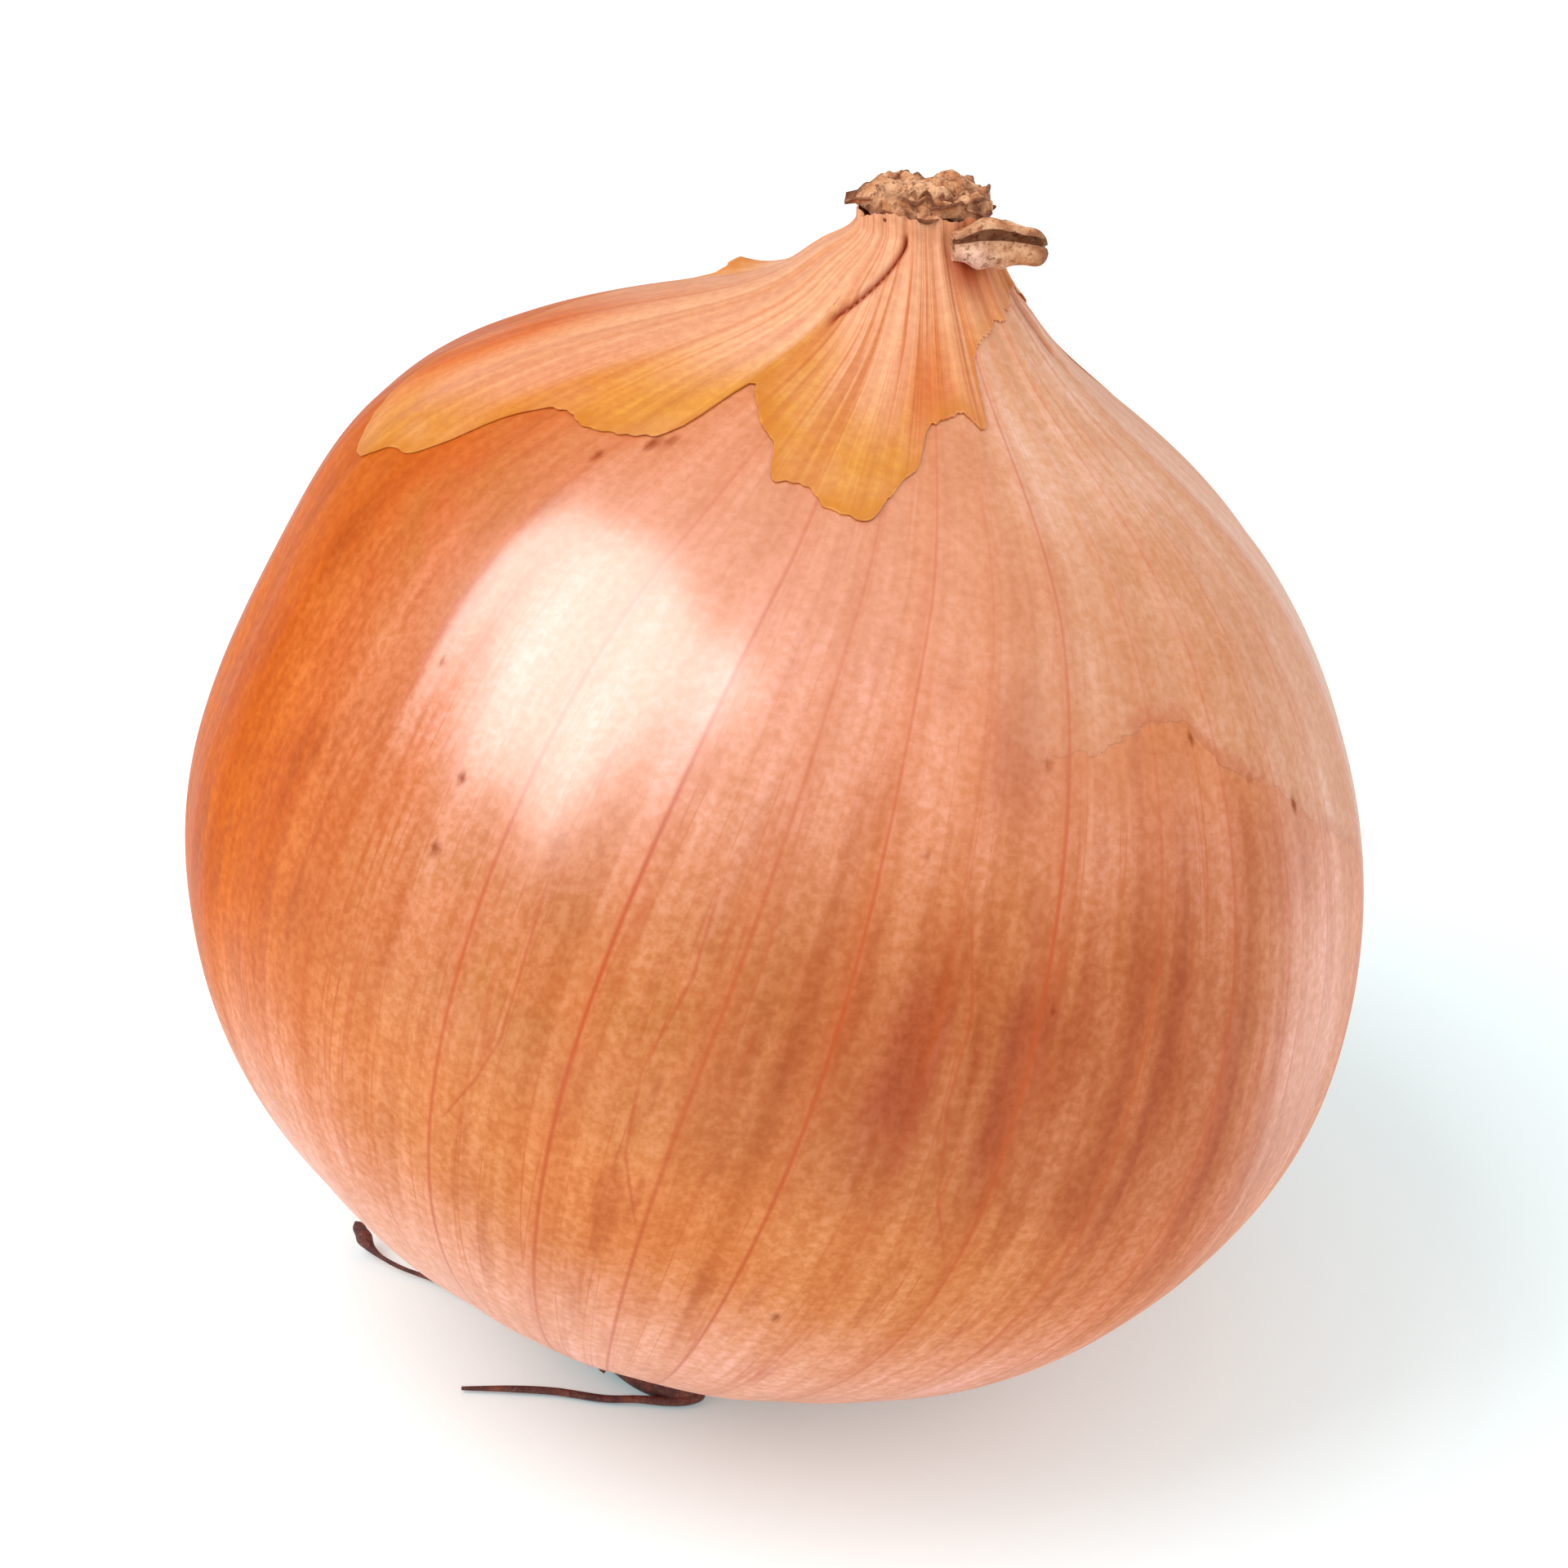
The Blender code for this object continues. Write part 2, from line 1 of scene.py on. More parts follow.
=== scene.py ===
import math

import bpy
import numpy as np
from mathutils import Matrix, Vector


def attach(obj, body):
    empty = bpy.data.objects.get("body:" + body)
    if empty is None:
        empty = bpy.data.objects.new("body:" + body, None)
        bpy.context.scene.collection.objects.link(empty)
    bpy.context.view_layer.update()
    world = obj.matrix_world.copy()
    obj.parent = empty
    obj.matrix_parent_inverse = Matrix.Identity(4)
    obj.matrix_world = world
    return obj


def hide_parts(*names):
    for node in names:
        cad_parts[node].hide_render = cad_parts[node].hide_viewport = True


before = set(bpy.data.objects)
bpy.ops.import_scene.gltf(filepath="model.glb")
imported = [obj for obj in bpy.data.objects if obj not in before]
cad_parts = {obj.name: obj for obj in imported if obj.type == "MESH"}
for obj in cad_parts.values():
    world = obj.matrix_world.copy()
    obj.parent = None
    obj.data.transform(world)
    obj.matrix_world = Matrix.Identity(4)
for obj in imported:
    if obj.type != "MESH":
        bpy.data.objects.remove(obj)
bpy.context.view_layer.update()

# The finished look of a brown-skinned onion that rests beside its root end.
#
# Four pieces stand for the four solids: the tight skin of the bulb, the torn golden remains of an
# older skin round its shoulders, the dried leaf ends on the neck, and the tuft of dried roots. Each
# is a surface worked out as a function of two parameters on a grid. Everything is in metres.
#
# The bulb, the torn skin and the leaf ends are worked out upright, in the bulb's own frame, and then
# laid over. In that frame the height runs along the axis, with the widest circle at zero. Azimuth is
# zero at the front (-Y) and grows towards the right (+X).

MM = 0.001
SHARP_FROM = math.radians(55)

# ---- Sizes, the same as in the solids ----
BULB_RADIUS = 0.0400
ROOT_END_DEPTH = 0.0342
SHOULDER_HEIGHT = 0.0400
NECK_RADIUS = 0.0051
NECK_RISE = 0.0071
NECK_RISE_FALLOFF = 0.0038
NECK_TOP = 0.0475
NECK_SHIFT = 0.0040
NECK_SHIFT_FROM = 0.0300
DIMPLE_RADIUS = 0.0056
DIMPLE_DEPTH = 0.0012
FULL_SIDE = math.radians(-85)
FULL_SHARE = 0.13
FULL_HEIGHT = 0.0297
FULL_REACH = 0.0120
NOD = math.radians(18.7)
LEAN_RIGHT = math.radians(17.8)
TIP_BACK = math.radians(-33.0)
REST_SPOT_DEPTH = 0.0007
FLAKE_AZIMUTH = math.radians(-114)
FLAKE_HALF_WIDTH = math.radians(8)
FLAKE_LIFT = 0.0009

# ---- Fine shape of the skin ----
COLUMNS = 420
TORN_COLUMNS = 840
TORN_ROWS_OUT, TORN_ROWS_IN = 70, 24
# Low ribs: how many round the bulb, how high and where they start
RIB_SETS = ((5, 0.00020, 0.4), (11, 0.00015, 1.9), (17, 0.00008, 0.7), (23, 0.00005, 2.6))
VEIN_CREST = 0.000035
VEIN_CREST_REACH = 0.0011
FOLD_DEPTH = 0.00011
CREASE_WIDTH = 0.26 * MM
# Main veins on the front, by azimuth in degrees, and how strongly each one shows
FRONT_VEINS = (
    (-66, 0.4), (-55, 0.3), (-43, 0.5), (-34, 0.25), (-25.5, 0.7), (-11.8, 1.0), (-1, 0.7),
    (9, 0.8), (18, 0.35), (28.6, 0.9), (41, 0.45), (52, 0.5), (62, 0.4), (72, 0.5),
)
BACK_VEIN_STEP = 11.5
# Side branches of the veins: each runs through these azimuths (degrees) and heights (mm)
BRANCHES = (
    ((-24.6, -11.0), (-20.9, -6.4), (-19.1, -2.8), (-19.0, 1.8), (-19.5, 8.9)),
    ((-1.2, -13.0), (-4.6, -7.0), (-5.6, -1.0), (-4.4, 6.0), (-5.0, 12.0)),
    ((28.6, -11.0), (23.6, -5.0), (21.2, 2.0), (21.4, 8.0), (19.0, 15.0)),
)
# Two deep folds up to the neck, each from a start to an end (azimuth in degrees, height in mm)
CREASES = (((-34.5, 41.2), (-12, 46.3)), ((85, 42.0), (83, 46.4)))
CREASE_DEPTH = 0.0005
# The neck is cut aslant: above this height its rim climbs by this much for each metre to the right
CUT_FROM = 0.0435
CUT_SLOPE = 0.22
# and above this height it narrows by this share
TAPER_FROM = 0.0425
NECK_TAPER = 0.20

# Torn edge of the golden skin: azimuth in degrees and height in millimetres
TORN_EDGE = (
    (-186, 32.4), (-174, 33.6), (-164, 31.0), (-155, 28.2), (-146, 27.5), (-138, 30.6), (-130, 35.2),
    (-122, 38.0), (-113, 38.4), (-106, 37.0), (-99, 33.6), (-92, 31.4), (-86, 28.4), (-80, 24.8),
    (-75, 23.1), (-71.6, 23.2), (-68, 24.9), (-64, 25.9), (-62.2, 27.5), (-60.9, 29.5),
    (-58.8, 30.9), (-55, 31.6), (-50, 31.6), (-45.4, 31.9), (-41.6, 32.6), (-38.7, 33.4),
    (-37.8, 34.4), (-37.3, 36.1), (-36.2, 36.9), (-34.2, 36.7), (-31, 35.9), (-26, 35.2),
    (-22.6, 34.7), (-20.2, 33.6), (-16.9, 33.6), (-13, 33.5), (-10, 33.2), (-6, 33.1), (-2, 33.5),
    (0, 34.5), (2.4, 35.5), (4.8, 36.1), (6.2, 37.5), (9, 38.1), (14, 38.6), (19, 38.8),
    (22.4, 38.3), (24.0, 38.6), (25.6, 40.5), (29, 41.8), (37, 42.6), (52, 43.4), (66, 44.0),
    (80, 44.4), (94, 44.4), (106, 44.0), (116, 43.0), (125, 40.4), (133, 35.6), (141, 31.2),
    (149, 29.4), (156, 31.0), (161, 33.0), (167, 33.2), (174, 32.4), (186, 33.6),
)
# Lower torn edge of the pale layer that still covers the right shoulder
PALE_EDGE = (
    (-180, 60), (-20, 60), (4, 34), (14, 27), (24, 23.4), (34, 24.3), (40, 25.9), (47, 26.1),
    (50, 25.0), (53, 23.6), (62, 22.5), (71, 19.4), (78, 17.7), (92, 13.5), (108, 17.0),
    (120, 26), (134, 60), (180, 60),
)

# ---- What is painted on ----
# Dark specks: azimuth in degrees, height and radius in mm
SPECKS = (
    (-32.8, 11.3, 0.40), (-32.3, 6.5, 0.45), (-41, 17, 0.25), (13.4, 17.0, 0.3), (30, 9, 0.25),
    (66, 21, 0.40), (57, 23, 0.3), (14.4, -16.8, 0.35), (-43.8, 30.8, 0.30), (-39.2, 32.5, 0.36),
    (-37.4, 33.0, 0.28), (48, 25.2, 0.3), (26, 23.2, 0.3), (150, 10, 0.4), (171, -4, 0.35),
    (-120, 12, 0.4), (110, -12, 0.4), (-95, -8, 0.35),
)
# Soft oval patches: middle and half width in degrees, level and half height in mm, strength
STRIP_SHADE = (-38.5, 3, 12.5, 7.5)
LEFT_SHOULDER = (-84, 16, 30, 8)
SKIN_PATCHES = {
    "pale": ((68, 40, 30, 24, 1.5), (40, 24, 41, 5, 0.7), (33, 7, 27, 6, 0.6)),
    "orange": (
        (-64, 24, 2, 20, 1), (-92, 34, 16, 24, 1), (-56, 16, 26, 8, 0.5), (*LEFT_SHOULDER, 0.4),
        (-2, 12, -13, 7, 0.3), (*STRIP_SHADE, 0.3), (172, 40, 4, 24, 1), (-140, 16, -6, 20, 1)),
    # pink is partly the skin's own colour and partly painted light: the patch at -26 lightens the colour
    # under the highlight, a painted highlight
    "pink_and_sheen": (
        (52, 16, -24, 10, 0.35), (-48, 15, -17, 7, 0.6), (88, 26, -2, 26, 0.7), (-26, 24, 21, 14, 0.8),
        (6, 20, 24, 9, 0.6), (68, 9, 6, 14, 0.7), (42, 14, 19, 5, 0.5), (-30, 10, 4, 6, 0.3),
        (220, 30, 0, 20, 0.5)),
    "olive": (
        (-14, 26, 3, 7, 1), (5, 8, 10, 6, 1), (14, 18, -8, 8, 0.3), (-52, 16, 24, 8, 1),
        (30, 18, -16, 8, 0.3), (150, 30, -4, 16, 1)),
    "ruddy": (
        (30, 17, 4, 9, 1), (46, 13, 4, 13, 1), (23, 4, 23.5, 5, 0.8), (58, 20, 18, 5, 0.4),
        (12, 12, 4, 10, 0.7), (54, 14, -8, 10, 0.7), (130, 30, 0, 20, 1)),
    "dashes": (
        (30, 34, 2, 16, 1), (-62, 20, 8, 20, 1), (-4, 20, -14, 12, 0.5), (170, 60, 0, 22, 1)),
    "gloss": (
        (-80, 34, 12, 30, -0.14), (-22, 23, 21, 15, 1), (14, 40, 34, 10, 0.5), (84, 26, 26, 18, 0.25),
        (70, 10, 4, 13, 0.5)),
}
TORN_PATCHES = {
    "golden": (
        (-12, 20, 36, 7, 1), (-56, 18, 34, 8, 1), (-40, 16, 38.5, 3, 0.7), (-70, 9, 28, 6, 1),
        (130, 30, 31, 6, 0.6), (-150, 24, 31, 6, 0.6)),
    "orange": (
        (8, 10, 39.5, 2.5, 0.7), (-91, 12, 28, 9, 0.9), (-84, 8, 31, 5, 0.7), (-60, 10, 32, 5, 0.35),
        (160, 40, 36, 8, 0.4), (62, 26, 46, 2.5, 0.6)),
    "gloss": ((-86, 34, 30, 16, -0.28),),
    "streaky": ((0, 36, 41, 5, 0.6), (180, 90, 42, 6, 0.3)),
}
# Colours as the eye reads them, 0 to 255. The crease colours are painted shade, the darkest leaf colour
# is partly painted shade, and the pink is partly painted light
TINTS = {
    "tan": (216, 126, 70), "orange": (206, 92, 10), "pink_and_sheen": (236, 150, 118), "olive": (190, 104, 40),
    "ruddy": (178, 80, 40), "dash": (180, 80, 30), "low veil": (220, 148, 110),
    "high veil": (234, 174, 142), "veil rim": (196, 88, 40), "fibre": (190, 84, 32),
    "vein": (188, 76, 28), "vein halo": (208, 98, 38), "crease": (160, 62, 24), "speck": (142, 56, 16),
    "peach": (236, 166, 125), "gold": (219, 141, 56), "copper": (216, 104, 40),
    "brown streak": (204, 108, 50), "torn line": (206, 92, 36), "torn rim": (200, 118, 32),
    "torn crease shade": (158, 56, 20), "leaf": (232, 176, 132), "dull leaf": (196, 126, 78),
    "fresh leaf": (255, 214, 194), "leaf pit": (132, 70, 34), "leaf edge and shade": (104, 52, 26),
    "leaf line": (150, 88, 48), "root": (84, 36, 34), "worn root": (128, 66, 50),
    "bruised root": (176, 116, 88), "root line": (50, 20, 20), "floor": (240, 246, 247),
    "light floor": (242, 248, 249),
}

# ---- Dried leaf ends, upright on the neck ----
CUSHION_RADIUS = 0.0043
CUSHION_LUMPS = 26
CURL_AZIMUTH = math.radians(36)
CURL_OUT = 0.0052
CURL_HEADING = math.radians(112)
CURL_RISE = -0.0001
CURL_TILT = math.radians(-13)
SCRAPS_AT = (-96, -60, -28, 2, 74, 118, 160, 205, 236)
# Standing rims of cut leaves: middle and width in degrees, radius, height, lean
LEAF_RIMS = (
    (-40, 110, 0.0035, 0.0010, 0.0004), (120, 110, 0.0032, 0.0012, 0.0003),
    (45, 80, 0.0034, 0.0009, 0.0004), (-120, 100, 0.0026, 0.0014, 0.0002),
    (10, 120, 0.0023, 0.0013, 0.0003), (150, 130, 0.0014, 0.0015, 0.0002),
    (-60, 120, 0.0010, 0.0014, 0.0002),
)

# ---- Roots ----
STRANDS = 46
STRAND_STEPS = 26
STRAND_RADIUS = 0.0003
STRAND_HEIGHT = 0.00045
ROOT_STEPS = 130
# The two long roots that lie on the floor: place in world axes, and radius, in mm
HOOKED_ROOT = (
    (-13.6, -10.0, 1.6, 0.45), (-15.9, -12.0, 1.4, 0.28), (-14.3, -13.3, 1.2, 0.45),
    (-12.9, -14.4, 1.1, 0.72), (-11.5, -15.2, 1.0, 0.90), (-10.1, -15.8, 1.0, 0.85),
    (-8.9, -15.9, 0.9, 0.60), (-8.5, -16.1, 0.7, 0.45), (-9.2, -16.4, 0.5, 0.38),
    (-10.7, -16.5, 0.5, 0.32), (-12.8, -16.3, 0.5, 0.28), (-15.0, -16.1, 0.4, 0.25),
    (-18.3, -15.3, 0.4, 0.25), (-21.4, -15.0, 0.4, 0.24), (-24.8, -14.8, 0.3, 0.14),
)
TIPPED_ROOT = (
    (-14.0, -9.6, 1.6, 0.45), (-18.0, -8.4, 0.8, 0.30), (-22.9, -5.4, 0.5, 0.20),
    (-26.8, -2.7, 0.5, 0.17), (-28.3, -1.8, 0.5, 0.16), (-29.6, -1.1, 0.6, 0.16),
    (-30.8, -0.3, 0.8, 0.17), (-31.6, 0.5, 1.0, 0.28), (-32.0, 1.1, 1.2, 0.50),
    (-32.3, 1.6, 1.5, 0.56), (-32.6, 2.2, 1.7, 0.42), (-32.8, 2.6, 1.8, 0.12),
)

# ---- Camera ----
LOOK_DOWN = math.radians(33)
CAMERA_DISTANCE = 0.570
LENS = 192.6
SENSOR = 36.0
# How far the aim lies to the right of the bulb's middle, and above it in the picture
AIM_RIGHT = 0.00074
AIM_UP = 0.00644


def smooth_step(value):
    """3v^2 - 2v^3 between 0 and 1, flat outside."""
    value = np.clip(value, 0.0, 1.0)
    return value * value * (3.0 - 2.0 * value)


def cubic(t, start, end, slope, next_slope):
    """The cubic that goes from start to end as t goes from 0 to 1, with those slopes at its ends."""
    return ((2 * t**3 - 3 * t**2 + 1) * start + (t**3 - 2 * t**2 + t) * slope
            + (3 * t**2 - 2 * t**3) * end + (t**3 - t**2) * next_slope)


def smooth_curve(where, knots):
    """A curve through knots (place, value): cubic pieces whose end slopes are the knots' own gradient."""
    place, value = np.array(knots).T
    slope = np.gradient(value, place)
    k = np.clip(np.searchsorted(place, where) - 1, 0, len(place) - 2)
    wide = place[k + 1] - place[k]
    t = np.clip((where - place[k]) / wide, 0.0, 1.0)
    return cubic(t, value[k], value[k + 1], wide * slope[k], wide * slope[k + 1])


def angle_between(azimuth, middle):
    """How far azimuth lies past middle, the short way round."""
    return np.angle(np.exp(1j * (azimuth - middle)))


def at_azimuth(radius, azimuth, height):
    """Points at r sin(azimuth), -r cos(azimuth), height."""
    x, y = radius * np.sin(azimuth), -radius * np.cos(azimuth)
    return np.stack(np.broadcast_arrays(x, y, height), axis=-1)


def ripples(across, along, seed, waves=14):
    """A smooth random field near -1 to 1: a mean of sine waves with seeded directions and phases."""
    chance = np.random.default_rng(seed)
    way = chance.uniform(-1.0, 1.0, (waves, 2)) * (2.0 * math.pi)
    phase = chance.uniform(0.0, 2.0 * math.pi, waves)
    total = sum(np.sin(a * across + b * along + p) for (a, b), p in zip(way, phase))
    return total / math.sqrt(waves)


def patch(azimuth, height, middle, wide, level, tall):
    """A soft oval patch: a Gaussian of half widths wide (degrees) and tall (mm) round its middle."""
    across = angle_between(azimuth, math.radians(middle)) / math.radians(wide)
    return np.exp(-(across**2) - ((height / MM - level) / tall) ** 2)


def patches(azimuth, height, table):
    """The sum of a table's soft oval patches, each times its strength."""
    return sum(strength * patch(azimuth, height, *place) for *place, strength in table)


# ---- The bulb's shape ----

def upper_height(radius):
    """Height of the shoulders: an ellipse that rises exponentially into the neck."""
    ellipse = SHOULDER_HEIGHT * np.sqrt(np.clip(1.0 - (radius / BULB_RADIUS) ** 2, 0.0, 1.0))
    return ellipse + NECK_RISE * np.exp(-(radius - NECK_RADIUS) / NECK_RISE_FALLOFF)


def lower_height(radius):
    """Height of the lower half: an ellipse with a shallow dimple round the root plate."""
    ellipse = -ROOT_END_DEPTH * np.sqrt(np.clip(1.0 - (radius / BULB_RADIUS) ** 2, 0.0, 1.0))
    return ellipse + DIMPLE_DEPTH * smooth_step(1.5 * (1.0 - radius / DIMPLE_RADIUS))


def radius_at(height):
    """Radius of the upper half at a height, read back from the shoulder curve."""
    radius = np.linspace(BULB_RADIUS, NECK_RADIUS, 900)
    return np.interp(height, upper_height(radius), radius)


def crease(azimuth, radius, height, start, end):
    """Depth share of a fold from start to end, each an azimuth in degrees and a height in mm.

    The fold's middle runs straight from one to the other. Across it the share is a Gaussian of the
    distance round the bulb, and it fades out over 1 mm past both ends. The distance comes with it.
    """
    middle = np.interp(height, [start[1] * MM, end[1] * MM], np.radians([start[0], end[0]]))
    gap = angle_between(azimuth, middle) * radius
    past = np.maximum(start[1] * MM - height, height - end[1] * MM)
    return np.exp(-((gap / CREASE_WIDTH) ** 2)) * smooth_step(1.0 - past / MM), gap


def creases(azimuth, radius, height):
    """Painted shade in the two deep folds: one along their middle, the right-hand one wider."""
    left, right = [crease(azimuth, radius, height, *ends)[0] for ends in CREASES]
    wide = 0.9 * patch(azimuth, height, 82, 5, 44.1, 2.0)
    return np.clip(np.maximum(1.2 * left, np.maximum(right, wide)), 0.0, 1.0)


def skin_relief(azimuth, radius, height):
    """How far the skin stands out from its plain round shape.

    Low ribs are cosines of the azimuth. Along each main vein lies a small crest that falls off
    exponentially on both sides. Near the neck the skin gathers in folds, cosines of the azimuth
    that grow with the height, and two deep creases run up to the neck, each with a low lip on its
    left.
    """
    fade = smooth_step(radius / (0.6 * BULB_RADIUS)) ** 2
    relief = fade * sum(high * np.cos(count * azimuth + start) for count, high, start in RIB_SETS)
    for middle, force in veins():
        gap = np.abs(angle_between(azimuth, middle)) * radius
        relief = relief + fade * force * VEIN_CREST * np.exp(-gap / VEIN_CREST_REACH)
    gather = smooth_step((height - 0.036) / 0.010) * smooth_step(radius / (1.15 * NECK_RADIUS))
    folds = np.cos(19 * azimuth + 0.5) + 0.7 * np.cos(31 * azimuth + 2.0) + 0.5 * np.cos(12 * azimuth)
    relief = relief + gather * FOLD_DEPTH * folds
    for ends in CREASES:
        share, gap = crease(azimuth, radius, height, *ends)
        lip = np.exp(-(((gap + 0.0009) / 0.0006) ** 2)) * (share > 0.001)
        relief = relief + CREASE_DEPTH * (0.3 * lip * share**0.2 - share)
    return relief


def skin(azimuth, radius, height):
    """Points of the living shape, upright: fuller on one side, ribbed, the neck drawn to the left.

    x = r sin(azimuth) - shift, y = -r cos(azimuth), z = height, where r is the radius times one
    plus the fuller side's share, plus the relief. Veins sway: the azimuth swings a little with
    height. The last millimetres of the neck narrow and are sheared upwards on the right.
    """
    fullness = FULL_SHARE * np.exp(-(((height - FULL_HEIGHT) / FULL_REACH) ** 2))
    fullness = fullness * np.clip(np.cos(azimuth - FULL_SIDE), 0.0, 1.0) ** 2
    narrow = 1.0 - NECK_TAPER * smooth_step((height - TAPER_FROM) / (NECK_TOP - TAPER_FROM))
    swollen = radius * narrow * (1.0 + fullness) + skin_relief(azimuth, radius, height)
    sway = 0.012 * np.sin(3 * azimuth + 45 * height) + 0.007 * np.sin(8 * azimuth + 110 * height)
    turned = azimuth + sway * smooth_step((0.046 - np.abs(height)) / 0.02)
    drawn = np.clip((height - NECK_SHIFT_FROM) / (NECK_TOP - NECK_SHIFT_FROM), 0.0, 1.2) ** 1.5
    points = at_azimuth(swollen, turned, height)
    cut = CUT_SLOPE * points[..., 0] * smooth_step((height - CUT_FROM) / (NECK_TOP - CUT_FROM))
    return points + np.stack(np.broadcast_arrays(-NECK_SHIFT * drawn, 0.0, cut), axis=-1)


def bulb_matrix():
    """Leans the upright bulb over and stands its rest spot on the world's origin."""
    nod = Matrix.Rotation(NOD, 4, "X")
    lean = Matrix.Rotation(LEAN_RIGHT, 4, "Y")
    tip = Matrix.Rotation(TIP_BACK, 4, "X")
    turned = tip @ lean @ nod
    axis = turned.to_3x3() @ Vector((0.0, 0.0, 1.0))
    spread = BULB_RADIUS**2
    shrink = BULB_RADIUS**2 - ROOT_END_DEPTH**2
    depth = math.sqrt(spread - shrink * axis.z**2)
    lowest = (axis * (shrink * axis.z) - Vector((0.0, 0.0, spread))) / depth
    return Matrix.Translation(-lowest - Vector((0.0, 0.0, REST_SPOT_DEPTH))) @ turned


LIE = np.array(bulb_matrix())


def laid_over(places):
    """Upright points turned and moved to where the resting bulb has them."""
    return places @ LIE[:3, :3].T + LIE[:3, 3]


def veins():
    """Azimuth in radians and force of every main vein, in order round the bulb."""
    chance = np.random.default_rng(5)
    found = list(FRONT_VEINS)
    azimuth = FRONT_VEINS[-1][0] + BACK_VEIN_STEP
    while azimuth < FRONT_VEINS[0][0] + 360 - 0.5 * BACK_VEIN_STEP:
        found.append((azimuth + chance.uniform(-2.2, 2.2), chance.uniform(0.3, 1.0)))
        azimuth += BACK_VEIN_STEP
    return [(math.radians(a), force) for a, force in found]


# ---- Meshes from grids ----

def normals_of(places, closed):
    """Unit normals of a grid of points: the cross product of its differences across and down."""
    if closed:
        across = np.roll(places, -1, axis=1) - np.roll(places, 1, axis=1)
    else:
        across = np.gradient(places, axis=1)
    normal = np.cross(np.gradient(places, axis=0), across)
    return normal / np.maximum(np.linalg.norm(normal, axis=-1, keepdims=True), 1e-12)


def grid_faces(rows, columns, closed):
    """Four-sided faces of a grid, as point numbers. A closed grid's last column meets its first."""
    index = np.arange(rows * columns).reshape(rows, columns)
    right = np.roll(index, -1, axis=1)
    if not closed:
        index, right = index[:, :-1], right[:, :-1]
    return np.stack([index[:-1], index[1:], right[1:], right[:-1]], axis=-1).reshape(-1, 4)


def grid_corners(rows, across, down):
    """The same faces' map positions: across has one more entry than the grid has columns when closed."""
    u = np.broadcast_to(across, (rows, len(across)))
    v = np.broadcast_to(down[:, None], u.shape)
    spot = np.stack([u, v], axis=-1)
    quads = np.stack([spot[:-1, :-1], spot[1:, :-1], spot[1:, 1:], spot[:-1, 1:]], axis=2)
    return quads.reshape(-1, 2)


def capped_faces(rows, columns):
    """Faces of a grid that closes round, with a flat cap on its first and on its last row."""
    faces = grid_faces(rows, columns, True).tolist()
    faces.append(list(range(columns - 1, -1, -1)))
    faces.append([(rows - 1) * columns + k for k in range(columns)])
    return faces


def for_each_point(marks, rows, columns):
    """Marks spread over a grid and laid out as one value, or one vector, for each point."""
    flat = {}
    for name, values in marks.items():
        many = (3,) if values.ndim == 3 else ()
        flat[name] = np.broadcast_to(values, (rows, columns) + many).reshape((-1,) + many)
    return flat


def walled(places, thickness):
    """A closed body round an open grid: both faces half the thickness away, joined along the border.

    thickness is one number or an array over the grid, so that a leaf can thin out to its edge.
    """
    rows, columns = places.shape[:2]
    half = normals_of(places, False) * (0.5 * np.broadcast_to(thickness, (rows, columns)))[..., None]
    points = np.concatenate([(places + half).reshape(-1, 3), (places - half).reshape(-1, 3)])
    front = grid_faces(rows, columns, False)
    back = front[:, ::-1] + rows * columns
    index = np.arange(rows * columns).reshape(rows, columns)
    ring = np.concatenate([index[0, :-1], index[:-1, -1], index[-1, :0:-1], index[:0:-1, 0]])
    after = np.roll(ring, -1)
    border = np.stack([ring, after, after + rows * columns, ring + rows * columns], axis=-1)
    return points, np.concatenate([front, back, border]).tolist()


def tubes(paths, radii, sides=8):
    """Closed tapered tubes along several paths with the same number of points.

    At each point a circle of that radius lies square to the path: its first direction is level, and
    its second is square to both. The two ends are closed with flat caps.
    """
    count, steps = paths.shape[:2]
    ahead = np.gradient(paths, axis=1)
    ahead = ahead / np.maximum(np.linalg.norm(ahead, axis=-1, keepdims=True), 1e-12)
    level = np.cross(ahead, np.array([0.0, 0.0, 1.0]) + 0.02 * ahead[..., ::-1])
    level = level / np.maximum(np.linalg.norm(level, axis=-1, keepdims=True), 1e-12)
    square = np.cross(level, ahead)
    turn = np.linspace(0.0, 2.0 * math.pi, sides, endpoint=False)
    circle = np.cos(turn)[:, None] * level[:, :, None] + np.sin(turn)[:, None] * square[:, :, None]
    points = paths[:, :, None] + circle * radii[:, :, None, None]
    one = grid_faces(steps, sides, True)
    offset = (np.arange(count) * steps * sides)[:, None, None]
    quads = (one[None] + offset).reshape(-1, 4)
    first = np.arange(sides)
    last = first + (steps - 1) * sides
    caps = np.concatenate([first[None] + offset[:, 0], last[None, ::-1] + offset[:, 0]])
    return points.reshape(-1, 3), quads.tolist() + caps.tolist()


def joined(bodies):
    """Several bodies of (points, faces) as one."""
    points, faces, start = [], [], 0
    for places, sides in bodies:
        points.append(places)
        faces += [[start + k for k in side] for side in sides]
        start += len(places)
    return np.concatenate(points), faces


